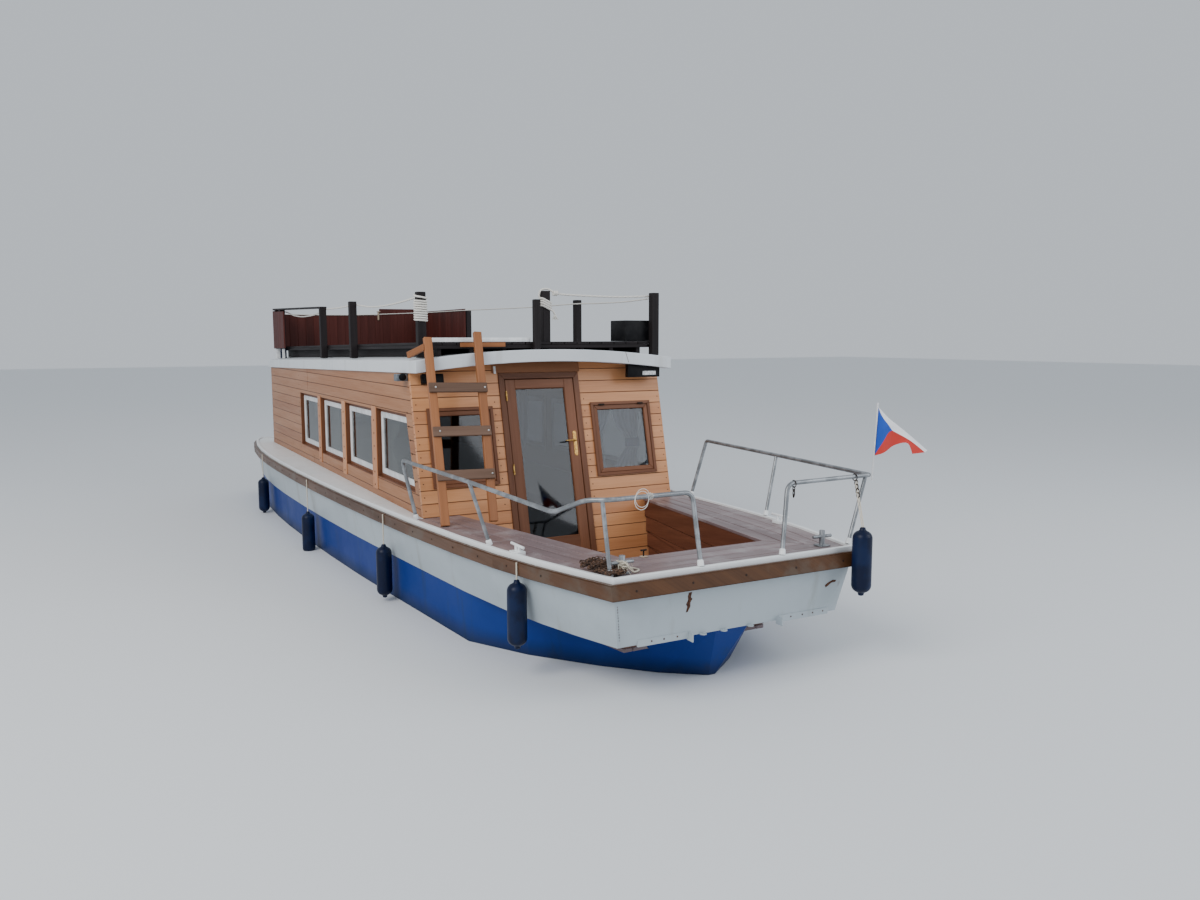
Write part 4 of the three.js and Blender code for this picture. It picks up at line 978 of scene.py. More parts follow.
door_frame = Boards(11)
outer = (DOOR_Y[0] + HAIR, DOOR_Y[1] - HAIR, SOLE_Z - 0.02, DOOR_TOP - HAIR)
inner = (DOOR_Y[0] + JAMB, DOOR_Y[1] - JAMB, SOLE_Z + 0.034, DOOR_TOP - JAMB)
door_frame.ring(front_rect(outer, -WALL), front_rect(inner, -WALL), OUT * (WALL + FRAME_FACE),
                0.003)
door_frame.finish("door_frame_joinery", JOINERY, replaces=["door_frame"], slot="joinery")
leaf = Boards(12)
d0 = LEAF_FACE - LEAF_T
y0, y1, z0, z1 = LEAF
p0, p1, q0, q1 = PANE
deep = OUT * LEAF_T
for ya, yb in ((y0, p0), (p1, y1)):
    leaf.prism(front_rect((ya, yb, z0, z1), d0), deep, UP)
for za, zb in ((z0, q0), (q1, z1)):
    leaf.prism(front_rect((p0, p1, za, zb), d0), deep, SIDE)
bead = (p0 + BEAD, p1 - BEAD, q0 + BEAD, q1 - BEAD)
leaf.ring(front_rect(PANE, -0.012), front_rect(bead, -0.012), OUT * 0.01, 0.001)
leaf.finish("door_leaf_joinery", JOINERY, "door", ["door_leaf"], "joinery")
paint_node("door_glass", DARK_GLASS)

# %% Board over the door
# The board over the door has a darker plank colour, which paints the shade under the roof's edge.
HEAD_Y, HEAD_T = (-0.53, 0.42), 0.012
arch = []
for y in np.linspace(HEAD_Y[1], HEAD_Y[0], 7):
    z = roof_under(on_front(0, 0, 2.26).x, y) - 0.004
    arch.append(on_front(HAIR, float(y), z))
head_board = Boards(14)
head_board.prism([on_front(HAIR, y, DOOR_TOP + 0.001) for y in HEAD_Y] + arch, OUT * HEAD_T, SIDE)
head_board.finish("board_over_door", HEAD_WOOD)
strip = Boards(15)
strip.prism(front_rect((-0.513, -0.49, 2.168, 2.24), HEAD_T + 0.001), OUT * 0.003, UP, 0.001)
strip.finish("white_strip", WHITE_PAINT)

# %% [markdown]
# Tubes, ropes, rods and handles are all one idea, a section swept along a line. `sweep` walks the
# line and carries the section with it without twisting, and `round_off` puts a smooth bend at each
# corner of a route first.

# %% Swept tubes


def round_off(points, bend, steps=6):
    """The route with each inner corner replaced by a curve that starts `bend` away from it."""
    pts = [Vector(p) for p in points]
    bends = bend if hasattr(bend, "__len__") else [bend] * len(pts)
    made = [pts[0]]
    for a, b, c, reach in zip(pts, pts[1:], pts[2:], bends):
        p = b + (a - b).normalized() * min(reach, (a - b).length * 0.45)
        q = b + (c - b).normalized() * min(reach, (c - b).length * 0.45)
        for i in range(steps + 1):
            t = i / steps
            made.append(p * (1 - t) ** 2 + b * 2 * t * (1 - t) + q * t * t)
    return made + [pts[-1]]


def sweep(points, radius, sides=12, closed=False):
    """Corners, faces and map of a tube along points; radius is a number or one for each point."""
    pts = [Vector(p) for p in points]
    n = len(pts)
    radii = radius if hasattr(radius, "__len__") else [radius] * n
    tangents = []
    for i in range(n):
        before = pts[i - 1] if i or closed else pts[0]
        after = pts[(i + 1) % n] if i < n - 1 or closed else pts[-1]
        tangents.append((after - before).normalized())
    normal = tangents[0].orthogonal().normalized()
    verts, faces, uvs = [], [], []
    lengths = [0.0]
    for i in range(1, n + 1):
        lengths.append(lengths[-1] + (pts[i % n] - pts[i - 1]).length)
    for i in range(n):
        normal = (normal - tangents[i] * normal.dot(tangents[i])).normalized()
        side = tangents[i].cross(normal)
        for j in range(sides):
            angle = 2 * math.pi * j / sides
            verts.append(pts[i] + (normal * math.cos(angle) + side * math.sin(angle)) * radii[i])
    for i in range(n if closed else n - 1):
        a, b = i * sides, ((i + 1) % n) * sides
        for j in range(sides):
            k = (j + 1) % sides
            faces.append((a + j, a + k, b + k, b + j))
            uvs += [(lengths[i], j / sides), (lengths[i], (j + 1) / sides),
                    (lengths[i + 1], (j + 1) / sides), (lengths[i + 1], j / sides)]
    if not closed:
        faces.append(tuple(range(sides))[::-1])
        faces.append(tuple((n - 1) * sides + j for j in range(sides)))
        uvs += [(0.0, 0.0)] * sides + [(lengths[n - 1], 0.0)] * sides
    return verts, faces, uvs


def swept_piece(name, parts, material, body="hull", replaces=(), slot=None):
    """One mesh from several sweeps, each (points, radius) or (points, radius, sides, closed)."""
    verts, faces, maps = [], [], []
    for part in parts:
        v, f, uv = sweep(*part)
        faces += [tuple(len(verts) + i for i in face) for face in f]
        verts += v
        maps += uv
    return settle(name, new_mesh(name, verts, faces, maps), material, body, replaces, slot,
                  angle=50)


# %% Door hinges and handle
HINGE_Y, HINGE_D, HINGE_R, KNUCKLE, PIN_END = -0.407, 0.023, 0.008, 0.045, 0.05
HINGE_HEIGHTS = (0.52, 1.25, 1.95)
frame_knuckles, leaf_knuckles = [], []
for z in HINGE_HEIGHTS:
    place = on_front(HINGE_D, HINGE_Y, z)
    frame_knuckles.append(([place - UP * KNUCKLE, place], HINGE_R, 16))
    frame_knuckles.append(([place - UP * PIN_END, place - UP * KNUCKLE], HINGE_R * 0.7, 12))
    leaf_knuckles.append(([place + UP * 0.0003, place + UP * KNUCKLE], HINGE_R, 16))
    leaf_knuckles.append(([place + UP * KNUCKLE, place + UP * PIN_END], HINGE_R * 0.7, 12))
swept_piece("hinge_knuckles_frame", frame_knuckles, BRASS)
swept_piece("hinge_knuckles_leaf", leaf_knuckles, BRASS, "door")
HANDLE_Y, HANDLE_Z, PLATE, PLATE_R = 0.29, 1.493, (1.345, 1.59), 0.018
plate = Boards(13)
outline = []
for end, z in ((-1, PLATE[0]), (1, PLATE[1])):
    for i in range(7):
        angle = math.pi * i / 6
        y = HANDLE_Y - end * PLATE_R * math.cos(angle)
        outline.append(on_front(LEAF_FACE, y, z - end * PLATE_R * (1 - math.sin(angle))))
plate.prism(outline, OUT * 0.0045, UP, 0.001)
plate.finish("handle_plate", BRASS, "door", ["door_handle"], "brass")
stem = on_front(LEAF_FACE, HANDLE_Y, HANDLE_Z)
lever = round_off([stem, stem + OUT * 0.048, stem + OUT * 0.048 - SIDE * 0.128], 0.02)
grip = [0.0075] * (len(lever) - 1) + [0.006]
keyhole = stem - UP * 0.085
swept_piece("handle_lever", [(lever, grip, 14), ([stem, stem + OUT * 0.01], 0.014, 18),
                             ([keyhole, keyhole + OUT * 0.012], 0.008, 14)], BRASS, "door")

# %% [markdown]
# Both front windows are brown casements: a casing on the planks, an opening frame inside it and
# the pane. The same ring of mitred boards makes each layer, a little smaller and further back.

# %% Front windows


def inset(rect, d):
    y0, y1, z0, z1 = rect
    return y0 + d, y1 - d, z0 + d, z1 - d


for name, (ya, yb) in FRONT_WINDOWS.items():
    rect = (ya, yb, FRONT_SILL, FRONT_HEAD)
    casing = Boards(20)
    # The casing on the planks, the frame through the wall, and the opening frame inside it
    casing.ring(front_rect(rect, HAIR), front_rect(inset(rect, 0.03), HAIR), OUT * 0.0195)
    casing.ring(front_rect(inset(rect, 0.0205), -WALL), front_rect(inset(rect, 0.04), -WALL),
                OUT * (WALL - 0.001))
    casing.ring(front_rect(inset(rect, 0.032), -0.026), front_rect(inset(rect, 0.0755), -0.026),
                OUT * 0.038, 0.004)
    casing.finish(f"front_window_joinery_{name}", JOINERY,
                  replaces=[f"front_window_frame_{name}"], slot="joinery")
    paint_node(f"front_window_pane_{name}", DARK_GLASS if name == "starboard" else CURTAINED_GLASS)
ya, yb = FRONT_WINDOWS["port"]
hinges = []
for y in (ya + 0.12, yb - 0.12):
    place = on_front(0.026, y, FRONT_HEAD - 0.028)
    hinges.append(([place - SIDE * 0.03, place + SIDE * 0.03], 0.009, 12))
swept_piece("casement_hinges", hinges, SCREW_STEEL)

# %% [markdown]
# A side window stands deep in the wall. Its opening is lined with brown boards, whose aft one shows
# from the bow, and at the back is a white sash with its pane. The forward one has a slanted edge.
# The posts between the openings are covered with one upright board each.

# %% Side windows
SIDE_WINDOWS = ((-2.66, -1.66, -1.66, 1.092), (-1.428, -0.41, -0.41, 1.092),
                (-0.16, 0.88, 0.88, 1.101), (1.137, 2.089, 2.309, 1.12))
WINDOW_H, REVEAL, SASH, SASH_DEPTH, PANE_DEPTH = 0.64, 0.0395, 0.056, 0.04, 0.054
LINING_EDGE, FRONT_LINING, BACK_LINING = 0.006, 0.049, 0.02
SASH_T, PANE_T, LAP = 0.022, 0.006, 0.002


def side_outline(window, side, grow, depth):
    """A side window's four corners, grown all round and set back in the wall."""
    aft, head, sill, z = window
    slope = (sill - head) / WINDOW_H
    out = grow * math.hypot(1.0, slope)
    y = side * (CABIN_W - depth)
    return [Vector(p) for p in ((aft - grow, y, z - grow), (sill + out + grow * slope, y, z - grow),
                                (head + out - grow * slope, y, z + WINDOW_H + grow),
                                (aft - grow, y, z + WINDOW_H + grow))]


def pane_piece(name, outline, thickness):
    pane = Boards(1)
    pane.prism(outline, thickness, (1, 0, 0), 0.0)
    return pane.finish(name, SIDE_GLASS, slot="window_glass")


for side, name in ((-1, "starboard"), (1, "port")):
    brown, white, posts = Boards(31), Boards(32), Boards(34)
    inward = Vector((0, -side, 0))
    for i, window in enumerate(SIDE_WINDOWS):
        brown.ring(side_outline(window, side, REVEAL, 0.001),
                   side_outline(window, side, REVEAL - LINING_EDGE, 0.001), inward * FRONT_LINING,
                   0.001)
        brown.ring(side_outline(window, side, REVEAL - LINING_EDGE, SASH_DEPTH + LAP),
                   side_outline(window, side, 0.0, SASH_DEPTH + LAP), inward * BACK_LINING, 0.001)
        white.ring(side_outline(window, side, 0.004, SASH_DEPTH),
                   side_outline(window, side, -SASH, SASH_DEPTH), inward * SASH_T, 0.004)
        pane_piece(f"side_pane_{name}_{i}", side_outline(window, side, LAP - SASH, PANE_DEPTH),
                   inward * PANE_T)
    for before, after in zip(SIDE_WINDOWS, SIDE_WINDOWS[1:]):
        low, high = sorted((side * CABIN_W, side * (CABIN_W + POST_COVER)))
        posts.box((before[2] + REVEAL + LAP, low, before[3] - 0.16),
                  (after[0] - REVEAL - LAP, high, after[3] + WINDOW_H + 0.05), (0, 0, 1), 0.002)
    posts.finish(f"window_posts_{name}", POST_WOOD)
    brown.finish(f"side_window_linings_{name}", JOINERY, slot="joinery")
    white.finish(f"side_window_sashes_{name}", WHITE_PLASTIC, replaces=[f"side_windows_{name}"],
                 slot="window_sash")
stern_window = Boards(33)
AFT_RECT = (-0.33, 0.33, 1.18, 1.76)


def aft_outline(grow, depth):
    y0, y1, z0, z1 = inset(AFT_RECT, -grow)
    x = CABIN_AFT + depth
    return [Vector((x, y, z)) for y, z in ((y0, z0), (y1, z0), (y1, z1), (y0, z1))]


stern_window.ring(aft_outline(REVEAL, 0.008), aft_outline(-SASH, 0.008), (0.04, 0, 0), 0.004)
stern_window.finish("aft_window_sash", WHITE_PLASTIC, replaces=["aft_window"], slot="window_sash")
pane_piece("aft_pane", aft_outline(LAP - SASH, 0.024), Vector((PANE_T, 0, 0)))

# %% [markdown]
# Curtains hang inside. A curtain is gathered cloth: at the rail it lies in even folds, which open
# a little on the way down. The folds are a sine wave in depth whose size grows towards the hem,
# and a tied curtain is drawn in to its tie. The cloth is as wide as the wave is long.

# %% Curtains


def cloth_piece(name, points, maps, columns, rows, material, thickness, **where):
    """Cloth through rows of points, as a piece that rides on a body, and its flat area."""
    faces = []
    for r in range(rows):
        for c in range(columns):
            a = r * (columns + 1) + c
            faces.append((a, a + 1, a + columns + 2, a + columns + 1))
    mesh = new_mesh(name, points, faces, [maps[i] for face in faces for i in face])
    area = sum(face.area for face in mesh.polygons)
    return settle(name, mesh, material, thickness=thickness, angle=80, **where), area


def curtain(name, start, end, top, bottom, inward, folds, depth, tie=None):
    """A curtain from start to end along its rail; tie is the height of a tie-back."""
    start, end, inward = Vector(start), Vector(end), Vector(inward).normalized()
    columns, rows = folds * 8, 24
    points, maps = [], []
    for r in range(rows + 1):
        t = r / rows
        z = mix(top, bottom, t)
        pull = 0.0
        if tie:
            pull = SQUEEZE * (math.exp(-((z - tie) / 0.16) ** 2) + 0.25 * max(0.0, t - 0.3))
        for c in range(columns + 1):
            u = c / columns
            along = u * (1 - pull)
            wave = depth * (0.5 + 0.5 * t) * (1 - 0.5 * pull) * math.sin(2 * math.pi * folds * u)
            ripple = 0.25 * depth * noise.noise(Vector((u * 9, t * 3, top)))
            base = start.lerp(end, along)
            points.append(Vector((base.x, base.y, z)) + inward * (wave + ripple))
            maps.append((u * (end - start).length * 1.6, z))
    piece, area = cloth_piece(name, points, maps, columns, rows, CURTAIN, 0.0012)


SQUEEZE = 0.55      # how far a tie draws the cloth in
# Window number, first and last x along the rail, foot of the cloth, height of the tie
SIDE_CURTAINS = ((0, -2.5, -1.9, 1.45, None), (1, -1.78, -1.1, 1.03, None),
                 (3, 0.925, 1.46, 1.06, 1.38))
for side, name in ((-1, "starboard"), (1, "port")):
    y = side * (CABIN_W - WALL - 0.1)
    for i, first, last, foot, tie in SIDE_CURTAINS:
        top = SIDE_WINDOWS[i][3] + WINDOW_H + 0.02
        curtain(f"curtain_{name}_{i}", (first, y, 0), (last, y, 0), top, foot, (0, -side, 0),
                6, 0.018, tie)
inside_front = on_front(-WALL - 0.09, 0, FRONT_HEAD).x
ya, yb = FRONT_WINDOWS["port"]
for label, a, b in (("a", ya + 0.05, ya + 0.3), ("b", yb - 0.05, yb - 0.36)):
    curtain(f"curtain_front_port_{label}", (inside_front, a, 0), (inside_front, b, 0),
            FRONT_HEAD - 0.02, FRONT_SILL + 0.02, (-1, 0, 0), 5, 0.016, tie=1.42)
door_x = on_front(-WALL - 0.1, 0, PANE[3]).x
curtain("curtain_door", (door_x, PANE[0] - 0.02, 0), (door_x, PANE[0] + 0.2, 0), PANE[3], 0.6,
        (-1, 0, 0), 4, 0.014, tie=1.25)
tieback = Boards(35)
tieback.box((inside_front - 0.03, yb - 0.19, 1.37), (inside_front + 0.03, yb - 0.045, 1.46),
            (0, 1, 0))
tieback.finish("blue_tieback", BLUE_CLOTH)

# %% [markdown]
# The roof deck is a timber frame on the roof, boarded over, with square posts round its edge. All
# of it is sawn timber, so all of it is boards: bearers and fascias, deck boards with open seams,
# posts, a handrail, and the reddish boarding round the aft end.

# %% Roof deck
PLAT_Z, PLAT_T, PLAT_W, PLAT_AFT, PLAT_FWD, PLAT_BOARDS = 2.479, 0.028, 1.2, -4.76, 2.37, 17
PLAT_FALL, FASCIA_T, FASCIA_SIDE, FASCIA_END = 0.0139, 0.03, 0.057, 0.062
POST_W, POST_ROUND = 0.08, 0.005
POST_Y = 1.24
# Place and height of the top
POSTS = ((-4.724, -POST_Y, 2.948), (-4.37, -POST_Y, 2.945), (-1.65, -POST_Y, 2.895),
         (-0.15, -POST_Y, 2.931), (2.31, -POST_Y, 2.94), (2.386, POST_Y, 2.975),
         (0.65, POST_Y, 2.96), (-0.45, POST_Y, 2.95), (-2.98, POST_Y, 2.925),
         (-4.724, POST_Y, 2.948))
GATE_FRONT = ((2.3696, -0.138), (2.4336, -0.074), 2.887)
GATE_INNER = ((2.25, -0.001), (2.33, 0.079), 2.975)


def roof_top(x, y):
    return roof_under(x, y) + ROOF_T


def deck_top(x):
    return PLAT_Z + PLAT_FALL * (x - PLAT_FWD)


def frame_top(x):
    return deck_top(x) - PLAT_T - HAIR


def lengthwise(boards, y, low, high, width, x0=PLAT_AFT, x1=PLAT_FWD):
    """A timber along the roof; low and high give its heights at any x."""
    outline = [(x, y - width / 2, height(x))
               for x, height in ((x0, low), (x1, low), (x1, high), (x0, high))]
    boards.prism(outline, (0, width, 0), (1, 0, PLAT_FALL))


deck_boards, deck_frame = Boards(41), Boards(42)
pitch = 2 * PLAT_W / PLAT_BOARDS
for i in range(PLAT_BOARDS):
    y = -PLAT_W + (i + 0.5) * pitch
    lengthwise(deck_boards, y, lambda x: deck_top(x) - PLAT_T, deck_top, pitch - 0.007)
deck_boards.finish("roof_deck_planks", DARK_WOOD, replaces=["roof_deck_boards"], slot="dark_timber")
BEARER = 0.022      # half the width of the timbers below the deck
for y in (-1.08, -0.76, -0.42, 0.0, 0.42, 0.76, 1.08):
    crown = max(0.0, abs(y) - BEARER)
    lengthwise(deck_frame, y, lambda x: roof_top(x, crown) + HAIR, frame_top, 2 * BEARER,
               PLAT_AFT + FASCIA_T, PLAT_FWD - FASCIA_T)
# The side and end fascias are near-black boards that paint the shade under the deck's edge.
for side in (-1, 1):
    lengthwise(deck_frame, side * (PLAT_W - FASCIA_T / 2), lambda x: deck_top(x) - FASCIA_SIDE,
               frame_top, FASCIA_T)
for x in (PLAT_AFT, PLAT_FWD - FASCIA_T):
    deck_frame.box((x, -PLAT_W, deck_top(x) - FASCIA_END), (x + FASCIA_T, PLAT_W, frame_top(x)),
                   (0, 1, 0))
half = POST_W / 2
for x, y, top in POSTS:
    low = roof_top(x + half, abs(y) - half) + HAIR
    deck_frame.box((x - half, y - half, low), (x + half, y + half, top), (0, 0, 1), POST_ROUND)
(x0, y0), (x1, y1), top = GATE_FRONT
deck_frame.box((x0, y0, roof_top(x1, y1) + HAIR), (x1, y1, top), (0, 0, 1), POST_ROUND)
(x0, y0), (x1, y1), top = GATE_INNER
deck_frame.box((x0, y0, frame_top(x0) - 0.03), (x1, y1, top), (0, 0, 1), POST_ROUND)
HANDRAIL = ((-4.886, 2.945), (-1.608, 2.89), (-1.608, 2.914), (-4.886, 2.972))
deck_frame.prism([(x, -1.285, z) for x, z in HANDRAIL], (0, 0.09, 0), (1, 0, 0), POST_ROUND)
deck_frame.finish("roof_deck_timbers", DARK_WOOD, replaces=["roof_deck_frame"], slot="dark_timber")

# %% Roof deck boarding
PANEL_T, PANEL_X, PANEL_LOW, PANEL_TOP, PANEL_STEP = 0.022, -4.7865, 2.351, 2.93, (-1.2225, 0.38)
PORT_Y, PORT_END, STARBOARD_Y, STARBOARD_END = 1.162, -2.93, -1.3025, -3.95
PANEL_SEAM = 0.0006
AFT_LOW, AFT_HIGH, PORT_TOP = 2.884, 2.985, 2.95
SLOPE_LOW, SLOPE_TOP = (2.351, 2.364), (2.921, 2.907)    # the starboard boarding, aft and forward
boarding = Boards(43)


def board_ends(first, last, cuts=()):
    """Pairs of ends for boards set side by side from first to last, cut at some places too."""
    marks = [*np.arange(first, last - 0.03, PLANK), *(c for c in cuts if first < c < last), last]
    marks = sorted(float(m) for m in marks)
    return [(a, b - (PANEL_SEAM if b not in cuts else 0.0)) for a, b in zip(marks, marks[1:])
            if b - a > 0.01]


for a, b in board_ends(STARBOARD_Y, PORT_Y + PANEL_T, PANEL_STEP):
    top = PANEL_TOP if a < PANEL_STEP[0] else AFT_LOW if a < PANEL_STEP[1] else AFT_HIGH
    boarding.box((PANEL_X, a, PANEL_LOW), (PANEL_X + PANEL_T, b, top), (0, 0, 1))
for a, b in board_ends(PANEL_X + PANEL_T + 0.001, PORT_END):
    boarding.box((a, PORT_Y, deck_top(b) + 0.001), (b, PORT_Y + PANEL_T, PORT_TOP), (0, 0, 1))
for a, b in board_ends(PANEL_X + PANEL_T + 0.001, STARBOARD_END):
    corners = [(x, mix(*heights, (x - PANEL_X) / (STARBOARD_END - PANEL_X)))
               for x, heights in ((a, SLOPE_LOW), (b, SLOPE_LOW), (b, SLOPE_TOP), (a, SLOPE_TOP))]
    boarding.prism([(x, STARBOARD_Y, z) for x, z in corners], (0, PANEL_T, 0), (0, 0, 1))
boarding.finish("roof_deck_boarding", PANEL_WOOD, replaces=["roof_deck_panels"],
                slot="panel_boards")
dress("roof_deck_box", BLACK, 0.006, 35)
dress("boarding_sill", WHITE_PAINT, 0.003, 35)
edge_board = Boards(44)
edge_board.box((2.3705, -0.885, 2.432), (2.385, -0.428, 2.474), (0, 1, 0))
edge_board.finish("roof_edge_board", LADDER_WOOD)
feet_white, foot_navy, roof_joint, wall_joints = Boards(45), Boards(46), Boards(47), Boards(48)
sleeve = half + 0.001
for boards, (x, y, _) in ((feet_white, POSTS[0]), (foot_navy, POSTS[1])):
    boards.box((x - sleeve, y - sleeve, roof_top(x + half, abs(y) - half) + 0.001),
               (x + sleeve, y + sleeve, PANEL_LOW - 0.002), (0, 0, 1), 0.001)
feet_white.box((-4.27, -1.275, roof_top(-4.25, POST_Y) + 0.003), (-4.235, -POST_Y, 2.352),
               (0, 0, 1), 0.001)
feet_white.finish("white_post_foot", WHITE_PAINT)
foot_navy.finish("navy_post_foot", NAVY)
roof_joint.board((ROOF_FWD + 0.0008, 0.825, 2.372), (ROOF_FWD + 0.0008, 0.861, 2.268), 0.004, 0.001,
                 (0, 1, 0), 0.0)
roof_joint.finish("roof_plate_joint", STREAK)
for side in (-1, 1):
    for x, low, high in ((-2.21, 1.826, 2.09), (-1.95, 0.83, 0.977)):
        y = side * (CABIN_W + HAIR)
        wall_joints.board((x, y, low), (x, y, high), 0.003, 0.001, (1, 0, 0), 0.0)
wall_joints.finish("side_wall_butt_joints", STREAK)

# %% [markdown]
# Rope on the roof deck is strung from post to post. Rope is limp and has weight, so between two
# posts it sags: the points are where the real one hangs, and a smooth curve goes through them.
# Round a post it follows a square with rounded corners.

# %% Ropes of the roof deck


def smooth(points, steps=5):
    """A curve through all the points, with `steps` parts between neighbours."""
    pts = [Vector(p) for p in points]
    made = []
    for i in range(len(pts) - 1):
        a, b, c, d = pts[max(i - 1, 0)], pts[i], pts[i + 1], pts[min(i + 2, len(pts) - 1)]
        for k in range(steps):
            t = k / steps
            made.append((2 * b + (c - a) * t + (2 * a - 5 * b + 4 * c - d) * t ** 2
                         + (3 * b - a - 3 * c + d) * t ** 3) * 0.5)
    return made + [pts[-1]]


def winding(centre, reach, high, low, turns, start, tilt=0.0):
    """Points round a square post from high to low; start is the first angle in degrees."""
    made, per_turn, squareness = [], 20, 7.0
    steps = round(turns * per_turn)
    for i in range(steps + 1):
        angle = math.radians(start) + 2 * math.pi * i / per_turn
        c, s = math.cos(angle), math.sin(angle)
        r = reach / (abs(c) ** squareness + abs(s) ** squareness) ** (1 / squareness)
        z = mix(high, low, i / steps) + tilt * s * r / reach
        made.append(Vector((centre[0] + c * r, centre[1] + s * r, z)))
    return made


def rope(name, line, diameter, material):
    """A rope along a line."""
    piece = swept_piece(name, [(line, diameter / 2, 12)], material)


UPPER_ROPE, LOWER_ROPE, GATE_ROPE = 0.018, 0.014, 0.02
upper_y = -POST_Y + half + UPPER_ROPE / 2
upper = smooth([(x, upper_y, z) for x, z in (
    (-4.35, 2.91), (-4.2, 2.9), (-4.07, 2.885), (-3.633, 2.839), (-3.08, 2.815), (-2.31, 2.828),
    (-1.832, 2.87), (-1.65, 2.881), (-0.923, 2.882), (-0.3, 2.896), (-0.15, 2.893), (0.424, 2.855),
    (0.965, 2.851), (1.529, 2.87), (2.042, 2.901))])
big_post = (POSTS[4][0], POSTS[4][1])
reach = half + UPPER_ROPE / 2 + HAIR
upper += winding(big_post, reach, 2.926, 2.868, 1.0, 135)
upper += winding(big_post, reach, 2.868, 2.672, 9.0, 135)[1:]
rope("starboard_deck_rope", upper, UPPER_ROPE, WHITE_ROPE)
lower_x, lower_y = PANEL_X + PANEL_T + LOWER_ROPE / 2 + HAIR, PORT_Y - LOWER_ROPE / 2 - HAIR
lower = smooth([(-4.742, -1.19, 2.886), (lower_x, -1.12, 2.883), (lower_x, -0.5, 2.879),
                (lower_x, 0.07, 2.885), (lower_x, 0.5, 2.902), (lower_x, 1.08, 2.928),
                (lower_x + 0.03, lower_y - 0.012, 2.93), (lower_x + 0.1, lower_y, 2.93),
                (-4.2, lower_y, 2.929), (-3.5, lower_y, 2.926), (-2.93, lower_y, 2.924),
                (-2.0, 1.175, 2.917), (-0.573, 1.192, 2.908), (0.617, 1.192, 2.913),
                (1.279, 1.192, 2.902), (1.846, 1.192, 2.9), (2.35, 1.192, 2.915)])
rope("port_deck_rope", lower, LOWER_ROPE, WHITE_ROPE)
gate_post = (2.29, 0.039)
reach = half + GATE_ROPE / 2 + HAIR
gate = smooth([(2.335, 1.235, 2.943), (2.338, 0.861, 2.929), (2.339, 0.514, 2.932),
               (2.338, 0.178, 2.944), (2.325, 0.118, 2.962), (2.3, 0.08, 2.99),
               (2.292, 0.03, 2.994), (2.285, -0.008, 2.975), (2.28, -0.02, 2.93)])
gate += winding(gate_post, reach, 2.884, 2.806, 3.4, -100, -0.02)
gate += smooth([(2.347, 0.096, 2.782), (2.35, 0.108, 2.762), (2.35, 0.116, 2.745)])
strands = []
for i in range(9):
    spread = (i - 4) / 4
    strand = smooth([(2.35, 0.116, 2.748),
                     (2.352 + 0.006 * math.sin(i * 2.1), 0.118 + 0.016 * spread, 2.722),
                     (2.35, 0.122 + 0.032 * spread, 2.695 - 0.006 * math.cos(i * 1.7))])
    strands.append((strand, [0.0045] * 10 + [0.002], 6))
tassel = swept_piece("gate_rope_tassel", strands, WHITE_ROPE)
hitch = []
for k in range(3):
    ring = [(2.334 + 0.015 * math.cos(a), 0.132 + 0.016 * (k - 1) + 0.006 * math.sin(a),
             2.952 + 0.018 * math.sin(a)) for a in np.linspace(0, 2 * math.pi, 17)[:-1]]
    hitch.append((ring, 0.0085, 8, True))
knot = swept_piece("gate_rope_hitch", hitch, WHITE_ROPE)
rope("gate_rope", gate, GATE_ROPE, WHITE_ROPE)
clip = Boards(49)
clip.box((lower_x - 0.007, 0.345, 2.8), (lower_x + 0.014, 0.372, 2.93), (0, 0, 1), 0.004)
clip.box((lower_x - 0.007, 0.332, 2.93), (lower_x + 0.02, 0.392, 2.946), (0, 1, 0), 0.004)
clip.finish("rope_clip", PALE_WOOD)

# %% [markdown]
# The ladder leans on the roof edge. Its three steps are flat boards bolted to the front of the
# stiles, and a short brace ties the top to the roof's edge.

# %% Ladder
LADDER_FOOT = (Vector((3.105, -1.321, 0.877)), Vector((3.105, -0.869, 0.877)))
LADDER_TOP = (Vector((2.484, -1.24, 2.52)), Vector((2.484, -0.757, 2.57)))
RUNGS, LEAN = (2.06, 1.676, 1.3), 0.36
STILE_W, STILE_T, STEP_H, STEP_T, TIMBER_EDGE = 0.075, 0.042, 0.09, 0.024, 0.004
STEP_OUT, STEP_OVER = 0.032, 0.04       # how far a step stands before the stiles, and past them
forward = Vector((math.cos(LEAN), 0, math.sin(LEAN)))
step_across = Vector((-math.sin(LEAN), 0, math.cos(LEAN)))


def on_stile(i, z):
    """The place at a height on one of the two stiles."""
    a, b = LADDER_FOOT[i], LADDER_TOP[i]
    return a.lerp(b, (z - a.z) / (b.z - a.z))


ladder, steps = Boards(51), Boards(52)
bolts = []
for i in (0, 1):
    ladder.board(on_stile(i, 0.891), LADDER_TOP[i], STILE_W, STILE_T, (0, 1, 0), TIMBER_EDGE)
for z in RUNGS:
    a = on_stile(0, z + 0.006) + forward * STEP_OUT - SIDE * STEP_OVER
    b = on_stile(1, z - 0.006) + forward * STEP_OUT + SIDE * STEP_OVER
    steps.board(a, b, STEP_H, STEP_T, step_across, TIMBER_EDGE)
    bolts += [(p + forward * 0.0125, forward) for p in (a + SIDE * 0.06, b - SIDE * 0.028)]
ladder.board((2.524, -1.281, 2.436), (2.235, -1.345, 2.358), 0.06, 0.03, (0, 0, 1), TIMBER_EDGE)
ladder.finish("ladder_timbers", LADDER_WOOD, replaces=["ladder"], slot="ladder_timber")
steps.finish("ladder_steps", RUNG_WOOD, slot="ladder_timber")
fasteners("ladder_bolts", bolts, 0.01, 0.006, STEEL)

# %% [markdown]
# The rails are galvanised tube, bent cold. The starboard top tube is dented between its posts,
# where it was once caught, so its route dips there.

# %% Rails
TUBE, BEND, ON_TRIM = 0.017, 0.07, 0.0175


